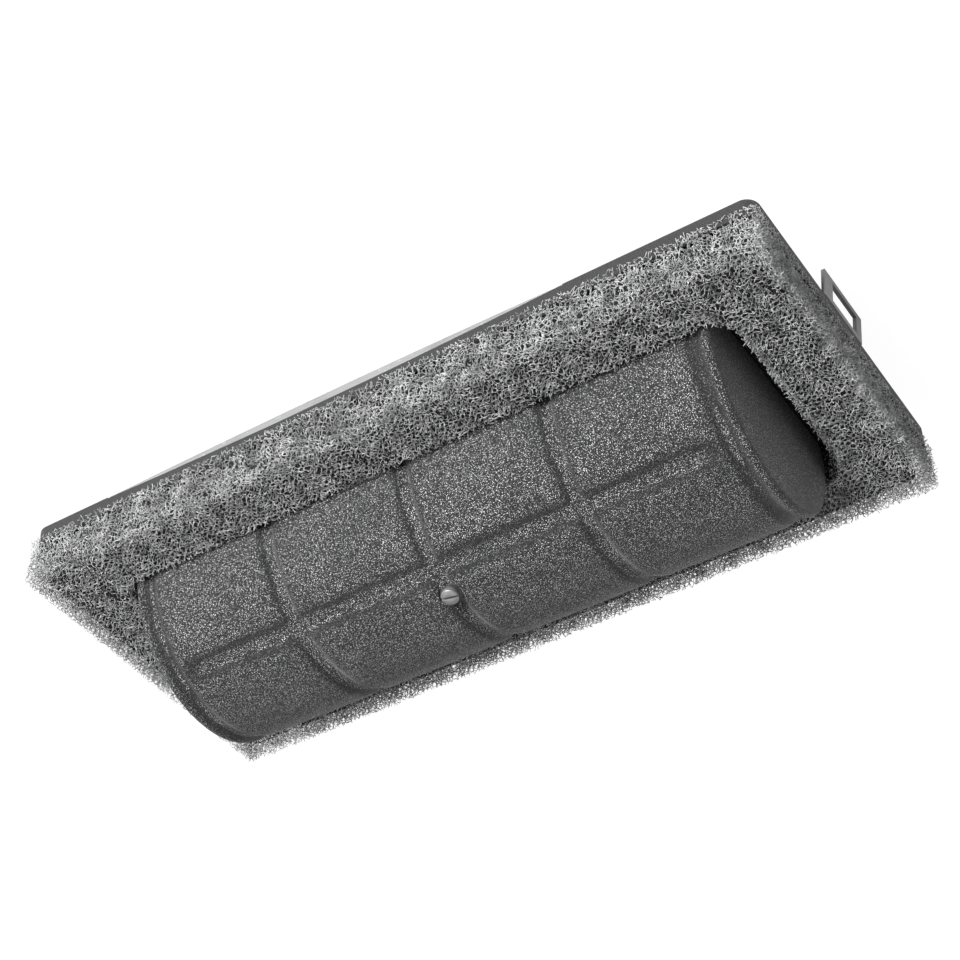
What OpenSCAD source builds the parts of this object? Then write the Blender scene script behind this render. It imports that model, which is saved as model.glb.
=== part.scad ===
// Air filter housing for a small engine: a sheet-metal base pan with an outlet box and catch loops,
// and a lift-off element of flocked tray, open-cell foam surround and flocked filter dome.
// Millimetres. +Z points out of the dome's crest.
// The origin is the centre of the footprint on the gasket face.

/* [Tray] */
// Overall length of the tray, along X
tray_l = 230; // [200:1:280]
// Overall width of the tray, along Y
tray_w = 104; // [98:1:130]
// Outside corner radius of the tray
tray_corner_r = 4; // [3:0.5:8]
// Height of the upturned rim, from the skirt's lower edge
rim_h = 5.6; // [5:0.1:9]
// Thickness of the tray's rim wall
rim_t = 1.2; // [1:0.1:1.6]
// Thickness of the tray's floor
floor_t = 1.2; // [0.8:0.1:1.6]
// Height of the floor's underside above the skirt's lower edge
floor_lift = 2.4; // [2.2:0.1:3]
// Width of the floor's border inside the dome
floor_border = 8; // [7:0.5:10]

/* [Base pan] */
// Thickness of the pan's sheet metal
pan_t = 1.2; // [0.8:0.1:1.4]
// Height of the pan's upturned lip, outside
pan_lip_h = 2.6; // [2:0.1:2.8]
// How far the pan's underside lies below the tray's skirt
pan_drop = 0.7; // [0.5:0.1:1]
// Length of the bowed stiffening flange on each long side
flange_l = 148; // [80:1:160]
// Depth of the bowed flange below the tray's skirt
flange_drop = 1; // [0.5:0.1:1.6]
// Height of the bowed flange above the tray's skirt
flange_rise = 1.5; // [0.8:0.1:1.8]
// Offset of the bowed flange from mid-length
flange_shift = -14; // [-20:1:20]
// Length of the air opening in the pan
pan_opening_l = 84; // [70:1:100]
// Width of the air opening in the pan
pan_opening_w = 44; // [36:1:50]

/* [Outlet] */
// Thickness of the outlet gasket
gasket_t = 1.5; // [1:0.1:3]
// Depth of the outlet box, from the gasket to the pan
box_depth = 9.8; // [9.4:0.1:16]
// Length of the outlet box, without its flange
box_l = 96; // [92:1:120]
// Width of the outlet box, without its flange
box_w = 56; // [54:1:64]
// Width of the outlet box's welding flange
box_flange = 7; // [6:0.5:9]
// Thickness of the outlet box's sheet metal
box_t = 1.2; // [0.8:0.1:1.6]
// Radius of the outlet bore
outlet_r = 17; // [12:0.5:20]
// Wall of the bellmouth
mouth_t = 1.2; // [0.8:0.1:1.5]
// Height of the bellmouth above the outlet box's floor
mouth_h = 3.8; // [3.4:0.1:4.5]
// Distance between the two mounting holes
bolt_spacing = 62; // [56:1:70]
// Radius of the mounting holes
bolt_hole_r = 3.2; // [2.6:0.1:3.4]
// Outside radius of the mounting bushes
bush_r = 4.8; // [4.4:0.1:5.4]
// Height of the mounting bushes
bush_h = 3.2; // [2.4:0.1:3.6]

/* [Catch loops] */
// Width of a catch loop
loop_w = 22; // [18:0.5:28]
// Thickness of a catch loop's strip
loop_t = 1.1; // [0.8:0.1:1.3]
// Reach of a catch loop below the tray's skirt
loop_reach = 9.8; // [9:0.1:11]
// Length of the loop's riveted leg
loop_leg_l = 18; // [15:0.5:24]
// Width of the loop's wide side
loop_side_wide = 4.6; // [3:0.1:5]
// Width of the loop's narrow side
loop_side_narrow = 3; // [2:0.1:4]
// Height of the bar that closes the loop
loop_bar = 1.5; // [1.2:0.1:2.5]
// Outward lean of the loop, in degrees
loop_lean = 6; // [0:0.5:10]

/* [Foam surround] */
// Height of the foam's front face above the tray's skirt
foam_top = 19.4; // [14:0.1:22]
// Inset of the foam above the rim, from the tray's ends
foam_inset_end = 0.5; // [0.4:0.1:2]
// Inset of the foam above the rim, from the tray's sides
foam_inset_side = 1.1; // [0.4:0.1:2]
// Gap between the dome's ends and the foam, on average
foam_gap_end = 4.4; // [3:0.1:8]
// Gap between the dome's sides and the foam, on average
foam_gap_side = 0.7; // [0.5:0.1:3]
// Offset of the foam's opening along X
foam_shift_x = 1.5; // [0:0.1:2.5]
// Offset of the foam's opening along Y
foam_shift_y = 0.3; // [0:0.1:0.3]

/* [Filter dome] */
// Length of the dome
dome_l = 182; // [160:1:186]
// Radius of the dome's vault, which is half its width
dome_r = 34.4; // [32:0.1:37]
// Height of the vault's axis above the tray's skirt
vault_lift = 13; // [11:0.1:16]
// Thickness of the dome's skin
skin_t = 2.4; // [2:0.1:3]
// Radius of the dome's end edges
dome_edge_r = 5; // [4.5:0.1:8]
// Depth of the pressed grooves
groove_depth = 1.2; // [0.6:0.1:1.3]
// Radius of the tool that presses the grooves
groove_r = 3.2; // [2.4:0.1:4]
// Distance between the transverse grooves
groove_pitch = 44.5; // [36:0.5:46]
// Place of the middle transverse groove along X
groove_centre_x = -1.5; // [-3:0.1:3]
// Angle of the lengthwise groove from the crest
ridge_angle = 29; // [26:0.5:34]
// Thickness of the inner gauze
gauze_t = 0.6; // [0.4:0.1:0.8]

/* [Support frame] */
// Width of the hoop straps
hoop_w = 7; // [6.5:0.5:10]
// Thickness of the hoop straps
hoop_t = 1.2; // [1:0.1:1.5]
// Width of the lengthwise stringer
stringer_w = 6; // [5:0.5:7]
// Thickness of the lengthwise stringer
stringer_t = 1.2; // [0.8:0.1:1.5]
// Thickness of the base frame
frame_t = 1.2; // [0.8:0.1:1.6]
// Width of the tray seal
seal_w = 4; // [3:0.5:5]

/* [Dome screw] */
// Angle of the screw from the crest
screw_angle = 16; // [10:0.5:18]
// Thread radius of the screw
screw_r = 1.5; // [1.2:0.1:1.6]
// Length of thread in the boss
thread_l = 3; // [2.5:0.1:4]
// Radius of the screw's head
head_r = 2.45; // [2.3:0.05:2.8]
// Height of the screw's head
head_h = 1.8; // [1.4:0.1:2.2]
// Width of the screwdriver slot
slot_w = 0.8; // [0.6:0.1:1]
// Depth of the screwdriver slot
slot_depth = 0.9; // [0.6:0.1:1]
// Radius of the washer
washer_r = 3.1; // [3:0.1:3.4]
// Thickness of the washer
washer_t = 0.6; // [0.4:0.1:0.8]

/* [Rivets] */
// Shank radius of the rivets
rivet_r = 1.5; // [1.2:0.1:1.6]
// Head radius of the rivets
rivet_head_r = 2.6; // [2.4:0.1:2.8]
// Head height of the rivets
rivet_head_h = 0.8; // [0.6:0.1:0.9]

/* [Fits] */
// Gap between a moving piece and its neighbour
clear_gap = 0.4; // [0.3:0.05:0.5]
// Gap between pieces that lie against each other
seat_gap = 0.1; // [0.05:0.01:0.1]
// Radial clearance of the screw in its boss
thread_gap = 0.05; // [0.02:0.01:0.08]

/* [Hidden] */
$fn = 96;
cut = 1; // Overrun of a cutting tool past the face it cuts
smallest_r = 0.5; // Smallest inside corner of the pan

// Heights
box_z = gasket_t;
pan_z = box_z + box_depth;
skirt_z = pan_z + pan_drop;
pan_top_z = pan_z + pan_t;
floor_z = skirt_z + floor_lift;
floor_top_z = floor_z + floor_t;
rim_top_z = skirt_z + rim_h;
foam_top_z = skirt_z + foam_top;
vault_z = skirt_z + vault_lift;
seal_z = pan_top_z + seat_gap;

// Base pan
pan_l = tray_l - 2 * (rim_t + clear_gap);
pan_w = tray_w - 2 * (rim_t + clear_gap);
pan_corner_r = max(tray_corner_r - rim_t - clear_gap, pan_t + smallest_r);
flange_y = tray_w / 2 - clear_gap / 2;
flange_in = pan_w / 2 - pan_t;

// Radii of the dome's layers, from the vault's axis
skin_in_r = dome_r - skin_t;
gauze_r = skin_in_r - seat_gap;
gauze_in_r = gauze_r - gauze_t;
hoop_r = gauze_in_r - seat_gap;
hoop_in_r = hoop_r - hoop_t;
stringer_sag = hoop_in_r - sqrt(pow(hoop_in_r, 2) - pow(stringer_w / 2, 2));
stringer_r = hoop_in_r - stringer_sag - seat_gap;
seat_r = dome_r - groove_depth;
groove_axis_r = dome_r + groove_r - groove_depth;

// Lengths and corners of the dome's layers
half_l = dome_l / 2;
skin_in_half_l = half_l - skin_t;
gauze_half_l = skin_in_half_l - seat_gap;
gauze_in_half_l = gauze_half_l - gauze_t;
frame_l = 2 * (gauze_in_half_l - seat_gap);
frame_w = 2 * hoop_r;
frame_corner_r = max(dome_edge_r - skin_t - gauze_t - 2 * seat_gap, 1);
opening_l = 2 * (skin_in_half_l - floor_border);
opening_w = 2 * (skin_in_r - floor_border);
opening_corner_r = 6;
groove_end_gap = 7; // Plain length between the lengthwise groove and the dome's end

// Foam opening
foam_open_l = dome_l + 2 * foam_gap_end;
foam_open_w = 2 * (dome_r + foam_gap_side);
foam_open_r = 7;

// Catch loops
loop_x = tray_l / 2;
loop_z = pan_z - loop_t;
loop_drop = loop_reach - pan_drop;
loop_rivet_x = loop_x - loop_leg_l + 2 * rivet_head_r;
loop_rivet_edge = 1; // Distance from a rivet head to the loop's side
loop_rivet_y = loop_w / 2 - rivet_head_r - loop_rivet_edge;
loop_foot = 0.4; // Solid height between the loop's bend and its window

// Outlet box and gasket
gasket_bore_gap = 0.5; // How far the gasket's bore stands back from the outlet
gasket_bolt_gap = 0.3; // How far the gasket's holes stand back from the bolts
box_corner_r = 8;
box_rivet_x = box_l / 2 + box_flange / 2;
box_rivet_y = box_w / 4;

// Frame rivets stand midway between hoops
frame_rivet_y = (opening_w / 2 + frame_w / 2) / 2;
frame_rivet_xs = [for (k = [-1.5 : 1 : 1.5]) groove_centre_x + k * groove_pitch];
hoop_xs = [for (k = [-1 : 1]) groove_centre_x + k * groove_pitch];

// Screw, from the vault's axis
boss_top_r = hoop_r;
boss_shoulder_sag = hoop_in_r - sqrt(pow(hoop_in_r, 2) - pow(washer_r, 2));
boss_shoulder_r = hoop_in_r - boss_shoulder_sag - seat_gap / 2;
boss_end_r = boss_top_r - thread_l;
spigot_wall = 0.9;
boss_spigot_r = screw_r + spigot_wall;
washer_seat_r = seat_r + seat_gap;
head_seat_r = washer_seat_r + washer_t;

// The stringer runs under the lengthwise groove, or beside the screw boss on a tighter vault
stringer_in_r = stringer_r - stringer_t;
stringer_half_angle = atan(stringer_w / 2 / stringer_in_r);
stringer_corner_r = norm([stringer_in_r, stringer_w / 2]);
boss_half_angle = asin((washer_r + seat_gap) / stringer_corner_r);
stringer_angle = max(ridge_angle, screw_angle + boss_half_angle + stringer_half_angle);

// A rectangle with round corners, centred
module rounded_rect(l, w, r) {
    square([l - 2 * r, w], center = true);
    square([l, w - 2 * r], center = true);
    for (sx = [-1, 1], sy = [-1, 1])
        translate([sx * (l / 2 - r), sy * (w / 2 - r)]) circle(r);
}

// A plate with round corners, its underside at z
module plate(l, w, r, z, h) {
    translate([0, 0, z]) linear_extrude(h) rounded_rect(l, w, r);
}

// Turns a profile half a turn over the vault's axis: x is the radius, y runs along the dome
module over_vault() {
    translate([0, 0, vault_z]) rotate([0, 90, 0]) rotate([0, 0, 90]) rotate_extrude(angle = 180) children();
}

// Places its children on the vault at an angle from the crest and a radius from the axis
module on_vault(x, angle, radius) {
    translate([x, 0, vault_z]) rotate([-angle, 0, 0]) translate([0, 0, radius]) children();
}

// A closed vault with round end edges on straight sides
module vault(half, r, edge_r, z) {
    over_vault() intersection() {
        rounded_rect(2 * r, 2 * half, edge_r);
        translate([0, -half]) square([r + cut, 2 * half]);
    }
    plate(2 * half, 2 * r, edge_r, z, vault_z - z);
}

// The groove tool that runs over the dome at x
module hoop_groove(x) {
    over_vault() translate([groove_axis_r, x]) circle(groove_r);
    for (side = [-1, 1])
        translate([x, side * groove_axis_r, floor_top_z - cut])
            cylinder(r = groove_r, h = vault_z - floor_top_z + cut);
}

// A strap bent over the vault, with straight legs that stand on the base frame
module hoop(x) {
    over_vault() translate([hoop_in_r, x - hoop_w / 2]) square([hoop_t, hoop_w]);
    leg_z = floor_top_z + frame_t;
    for (side = [-1, 1])
        translate([x - hoop_w / 2, side * (hoop_in_r + hoop_t / 2) - hoop_t / 2, leg_z])
            cube([hoop_w, hoop_t, vault_z - leg_z]);
}

// The hole for a stringer rivet at x
module stringer_hole(x) {
    on_vault(x, stringer_angle, hoop_in_r - 3 * stringer_t) cylinder(r = rivet_r, h = 6 * stringer_t);
}

// A rivet whose grip starts at z = 0 and is grip long, with a head at each end
module rivet(grip) {
    translate([0, 0, -rivet_head_h]) cylinder(r = rivet_head_r, h = rivet_head_h);
    cylinder(r = rivet_r, h = grip);
    translate([0, 0, grip]) cylinder(r = rivet_head_r, h = rivet_head_h);
}

// Places its children at the loop rivets
module at_loop_rivets() {
    for (end = [-1, 1], side = [-1, 1])
        translate([end * loop_rivet_x, side * loop_rivet_y, loop_z]) children();
}

// Places its children at the outlet box rivets
module at_box_rivets() {
    for (end = [-1, 1], side = [-1, 1])
        translate([end * box_rivet_x, side * box_rivet_y, pan_z - box_t]) children();
}

// Places its children at the two mounting holes
module at_bolts() {
    for (end = [-1, 1]) translate([end * bolt_spacing / 2, 0, 0]) children();
}

// The lens outline of the bowed flange, grown by a margin, in x and height
module bow_outline(margin) {
    half = flange_l / 2;
    span = max(flange_drop, flange_rise) + margin;
    rise_r = (pow(half, 2) + pow(flange_rise, 2)) / (2 * flange_rise);
    drop_r = (pow(half, 2) + pow(flange_drop, 2)) / (2 * flange_drop);
    intersection() {
        translate([0, flange_rise - rise_r]) circle(rise_r + margin, $fn = 720);
        translate([0, drop_r - flange_drop]) circle(drop_r + margin, $fn = 720);
        square([2 * (half + margin), 2 * span], center = true);
    }
}

// The bowed outline as a solid on the side given by its sign, from y_in outwards
module bow(side, y_in, y_out, margin) {
    y_low = side > 0 ? y_in : -y_out;
    translate([flange_shift, y_low + y_out - y_in, skirt_z])
        rotate([90, 0, 0]) linear_extrude(y_out - y_in) bow_outline(margin);
}

module outlet_gasket() {
    color("#3a3a38") difference() {
        plate(box_l, box_w, box_corner_r, 0, gasket_t);
        translate([0, 0, -cut]) cylinder(r = outlet_r + gasket_bore_gap, h = gasket_t + 2 * cut);
        at_bolts() translate([0, 0, -cut])
            cylinder(r = bolt_hole_r + gasket_bolt_gap, h = gasket_t + 2 * cut);
    }
}

module outlet_box() {
    color("#b9bbbc") difference() {
        union() {
            plate(box_l, box_w, box_corner_r, box_z, box_depth);
            plate(box_l + 2 * box_flange, box_w, box_corner_r, pan_z - box_t, box_t);
        }
        plate(box_l - 2 * box_t, box_w - 2 * box_t, box_corner_r - box_t, box_z + box_t, box_depth);
        translate([0, 0, box_z - cut]) cylinder(r = outlet_r + mouth_t, h = box_t + 2 * cut);
        at_bolts() translate([0, 0, box_z - cut]) cylinder(r = bush_r, h = box_t + 2 * cut);
        at_box_rivets() translate([0, 0, -cut]) cylinder(r = rivet_r, h = box_t + 2 * cut);
    }
}

module outlet_bellmouth() {
    flare_r = mouth_h - box_t;
    color("#c3c5c6") translate([0, 0, box_z]) rotate_extrude() {
        translate([outlet_r, 0]) square([mouth_t, box_t + mouth_h - flare_r]);
        translate([outlet_r + flare_r, box_t + mouth_h - flare_r]) intersection() {
            difference() {
                circle(flare_r);
                circle(flare_r - mouth_t);
            }
            translate([-flare_r, 0]) square(flare_r);
        }
    }
}

module mounting_bushes() {
    color("#d2d4d6") at_bolts() translate([0, 0, box_z]) difference() {
        cylinder(r = bush_r, h = bush_h);
        translate([0, 0, -cut]) cylinder(r = bolt_hole_r, h = bush_h + 2 * cut);
    }
}

module box_rivets() {
    color("#cfd1d2") at_box_rivets() rivet(box_t + pan_t);
}

module base_pan() {
    color("#bfc1c0") difference() {
        union() {
            plate(pan_l, pan_w, pan_corner_r, pan_z, pan_lip_h);
            for (side = [-1, 1]) bow(side, flange_in, flange_y, 0);
        }
        plate(pan_l - 2 * pan_t, pan_w - 2 * pan_t, pan_corner_r - pan_t, pan_top_z, pan_lip_h);
        plate(pan_opening_l, pan_opening_w, box_corner_r, pan_z - cut, pan_t + 2 * cut);
        at_box_rivets() cylinder(r = rivet_r, h = box_t + pan_t + cut);
        at_loop_rivets() cylinder(r = rivet_r, h = loop_t + pan_t + cut);
    }
}

// One catch loop at the +X end: a riveted leg and a leaning plate with a window
module catch_loop() {
    window_w = loop_w - loop_side_wide - loop_side_narrow;
    window_y = -loop_w / 2 + loop_side_narrow;
    window_h = loop_drop - loop_t - loop_foot - loop_bar;
    difference() {
        union() {
            translate([loop_x - loop_leg_l, -loop_w / 2, loop_z]) cube([loop_leg_l, loop_w, loop_t]);
            translate([loop_x, 0, pan_z]) rotate([0, -loop_lean, 0])
                translate([-loop_t, -loop_w / 2, -loop_drop]) cube([loop_t, loop_w, loop_drop]);
        }
        translate([loop_x, 0, pan_z]) rotate([0, -loop_lean, 0])
            translate([-loop_t - cut, window_y, -loop_drop + loop_bar])
                cube([loop_t + 2 * cut, window_w, window_h]);
        translate([0, -loop_w, pan_z]) cube([2 * loop_x, 2 * loop_w, 2 * cut]);
        at_loop_rivets() translate([0, 0, -cut]) cylinder(r = rivet_r, h = loop_t + 2 * cut);
    }
}

module catch_loop_right() {
    color("#c4c6c5") catch_loop();
}

module catch_loop_left() {
    color("#c4c6c5") rotate([0, 0, 180]) catch_loop();
}

module loop_rivets() {
    color("#cfd1d2") at_loop_rivets() rivet(loop_t + pan_t);
}

module element_tray() {
    inner_l = tray_l - 2 * rim_t;
    inner_w = tray_w - 2 * rim_t;
    inner_r = tray_corner_r - rim_t;
    color("#3b3c3d") difference() {
        plate(tray_l, tray_w, tray_corner_r, skirt_z, rim_h);
        plate(inner_l, inner_w, inner_r, skirt_z - cut, floor_lift + cut);
        plate(inner_l, inner_w, inner_r, floor_top_z, rim_h);
        plate(opening_l, opening_w, opening_corner_r, floor_z - cut, floor_t + 2 * cut);
        for (x = frame_rivet_xs, side = [-1, 1])
            translate([x, side * frame_rivet_y, floor_z - cut]) cylinder(r = rivet_r, h = floor_t + 2 * cut);
        for (side = [-1, 1]) bow(side, flange_in - cut, tray_w / 2 + cut, clear_gap);
    }
}

module tray_seal() {
    seal_l = foam_open_l + 2 * seal_w;
    seal_width = foam_open_w + 2 * seal_w;
    color("#2b2b2b") difference() {
        plate(seal_l, seal_width, foam_open_r + seal_w, seal_z, floor_z - seal_z);
        plate(foam_open_l, foam_open_w, foam_open_r, seal_z - cut, floor_z - seal_z + 2 * cut);
    }
}

module foam_surround() {
    lower_l = tray_l - 2 * rim_t - 2 * seat_gap;
    lower_w = tray_w - 2 * rim_t - 2 * seat_gap;
    upper_z = rim_top_z + clear_gap;
    color("#8b8c8c") difference() {
        union() {
            plate(lower_l, lower_w, tray_corner_r - rim_t, floor_top_z, foam_top_z - floor_top_z);
            plate(tray_l - 2 * foam_inset_end, tray_w - 2 * foam_inset_side, tray_corner_r,
                upper_z, foam_top_z - upper_z);
        }
        translate([foam_shift_x, foam_shift_y, 0])
            plate(foam_open_l, foam_open_w, foam_open_r, floor_top_z - cut, foam_top_z);
    }
}

module filter_dome() {
    ridge_y = groove_axis_r * sin(ridge_angle);
    ridge_z = vault_z + groove_axis_r * cos(ridge_angle);
    color("#555657") difference() {
        vault(half_l, dome_r, dome_edge_r, floor_top_z);
        vault(skin_in_half_l, skin_in_r, dome_edge_r - skin_t, floor_top_z - cut);
        for (x = hoop_xs) hoop_groove(x);
        translate([groove_end_gap - half_l, ridge_y, ridge_z]) rotate([0, 90, 0])
            cylinder(r = groove_r, h = dome_l - 2 * groove_end_gap);
        on_vault(groove_centre_x, screw_angle, seat_r)
            cylinder(r = washer_r + clear_gap, h = head_h + washer_t);
        on_vault(groove_centre_x, screw_angle, skin_in_r - cut)
            cylinder(r = screw_r + clear_gap, h = skin_t + cut);
    }
}

module inner_gauze() {
    edge_r = dome_edge_r - skin_t - seat_gap;
    color("#8f9294") difference() {
        vault(gauze_half_l, gauze_r, edge_r, floor_top_z);
        vault(gauze_in_half_l, gauze_in_r, edge_r - gauze_t, floor_top_z - cut);
        on_vault(groove_centre_x, screw_angle, gauze_in_r - cut)
            cylinder(r = boss_spigot_r + seat_gap, h = gauze_t + 2 * cut);
    }
}

module centre_hoop() {
    color("#a9acae") difference() {
        hoop(groove_centre_x);
        on_vault(groove_centre_x, screw_angle, hoop_in_r - cut)
            cylinder(r = boss_spigot_r, h = hoop_t + 2 * cut);
        stringer_hole(groove_centre_x);
    }
}

module side_hoops() {
    color("#a9acae") for (side = [-1, 1]) {
        x = groove_centre_x + side * groove_pitch;
        difference() {
            hoop(x);
            stringer_hole(x);
        }
    }
}

module lengthwise_stringer() {
    color("#a9acae") difference() {
        on_vault(0, stringer_angle, stringer_in_r)
            translate([-frame_l / 2, -stringer_w / 2, 0]) cube([frame_l, stringer_w, stringer_t]);
        for (x = hoop_xs) stringer_hole(x);
    }
}

// The stringer rivets: a head inside the stringer and a shank that ends flush in the hoop
module stringer_rivets() {
    color("#cfd1d2") for (x = hoop_xs) on_vault(x, stringer_angle, stringer_in_r) {
        translate([0, 0, -rivet_head_h]) cylinder(r = rivet_head_r, h = rivet_head_h);
        cylinder(r = rivet_r, h = hoop_r - stringer_r + stringer_t - seat_gap);
    }
}

module base_frame() {
    color("#a9acae") difference() {
        plate(frame_l, frame_w, frame_corner_r, floor_top_z, frame_t);
        plate(opening_l, opening_w, opening_corner_r, floor_top_z - cut, frame_t + 2 * cut);
        for (x = frame_rivet_xs, side = [-1, 1])
            translate([x, side * frame_rivet_y, floor_top_z - cut])
                cylinder(r = rivet_r, h = frame_t + 2 * cut);
    }
}

module frame_rivets() {
    color("#cfd1d2") for (x = frame_rivet_xs, side = [-1, 1])
        translate([x, side * frame_rivet_y, floor_z]) rivet(floor_t + frame_t);
}

module screw_boss() {
    color("#c8b27a") difference() {
        union() {
            on_vault(groove_centre_x, screw_angle, boss_end_r)
                cylinder(r = washer_r, h = boss_shoulder_r - boss_end_r);
            on_vault(groove_centre_x, screw_angle, boss_end_r)
                cylinder(r = boss_spigot_r, h = boss_top_r - boss_end_r);
        }
        on_vault(groove_centre_x, screw_angle, boss_end_r - cut)
            cylinder(r = screw_r + thread_gap, h = thread_l + 2 * cut);
    }
}

module screw_washer() {
    color("#b4b6b7") on_vault(groove_centre_x, screw_angle, washer_seat_r) difference() {
        cylinder(r = washer_r, h = washer_t);
        translate([0, 0, -cut]) cylinder(r = screw_r + thread_gap, h = washer_t + 2 * cut);
    }
}

module dome_screw() {
    color("#b4b6b7") on_vault(groove_centre_x, screw_angle, boss_end_r) difference() {
        union() {
            cylinder(r = screw_r, h = head_seat_r - boss_end_r + cut);
            translate([0, 0, head_seat_r - boss_end_r]) cylinder(r = head_r, h = head_h);
        }
        translate([-head_r - cut, -slot_w / 2, head_seat_r - boss_end_r + head_h - slot_depth])
            cube([2 * (head_r + cut), slot_w, slot_depth + cut]);
    }
}

outlet_gasket();
outlet_box();
outlet_bellmouth();
mounting_bushes();
box_rivets();
base_pan();
catch_loop_right();
catch_loop_left();
loop_rivets();
element_tray();
tray_seal();
foam_surround();
filter_dome();
inner_gauze();
centre_hoop();
side_hoops();
lengthwise_stringer();
stringer_rivets();
base_frame();
frame_rivets();
screw_boss();
screw_washer();
dome_screw();
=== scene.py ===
"""The looks of a small engine's air filter housing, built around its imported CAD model.

All lengths are metres in the CAD frame. +Z points out of the dome's crest, +X along the housing towards the
right catch loop, and +Y towards the side with the screw.
"""

import logging
import math
from dataclasses import dataclass, field
from enum import Enum
from itertools import product
from typing import Callable, Sequence

import bmesh
import bpy
import numpy as np
from mathutils import Matrix, Vector


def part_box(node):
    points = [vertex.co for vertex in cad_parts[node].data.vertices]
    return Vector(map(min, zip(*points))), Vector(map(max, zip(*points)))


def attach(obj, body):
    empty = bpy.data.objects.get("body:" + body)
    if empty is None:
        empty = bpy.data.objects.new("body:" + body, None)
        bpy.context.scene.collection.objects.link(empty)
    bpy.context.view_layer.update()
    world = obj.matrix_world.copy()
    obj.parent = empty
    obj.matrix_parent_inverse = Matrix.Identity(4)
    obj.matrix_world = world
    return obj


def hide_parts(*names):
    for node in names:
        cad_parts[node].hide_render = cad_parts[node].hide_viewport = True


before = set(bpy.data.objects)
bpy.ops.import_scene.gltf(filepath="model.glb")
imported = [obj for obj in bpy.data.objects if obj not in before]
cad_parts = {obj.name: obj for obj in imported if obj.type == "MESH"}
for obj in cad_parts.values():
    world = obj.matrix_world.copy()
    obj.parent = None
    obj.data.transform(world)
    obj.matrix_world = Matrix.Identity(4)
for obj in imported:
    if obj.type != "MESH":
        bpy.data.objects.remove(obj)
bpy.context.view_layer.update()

MM = 0.001
# The screw's angle from the crest, in degrees
SCREW_ANGLE = 16.0
Colour = tuple[float, float, float]
Material = bpy.types.Material
Node = bpy.types.Node
Piece = bpy.types.Object
Socket = bpy.types.NodeSocket
log = logging.getLogger("air_filter_housing")


class Body(Enum):
    """The moving bodies of the CAD model."""

    BASE = "base"
    ELEMENT = "element"
    SCREW_LIFTER = "screw_lifter"
    SCREW = "screw"


class Slot(Enum):
    """The material slots of the CAD record."""

    TRAY = "flocked_tray"
    FOAM = "coarse_foam"
    MESH = "flocked_mesh"
    SHEET = "sheet_metal"
    GAUZE = "wire_gauze"
    FRAME = "frame_steel"
    FASTENER = "fastener_steel"
    BRASS = "brass"
    SEAL = "seal_rubber"
    GASKET = "gasket_fibre"


# Shader nodes


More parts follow.
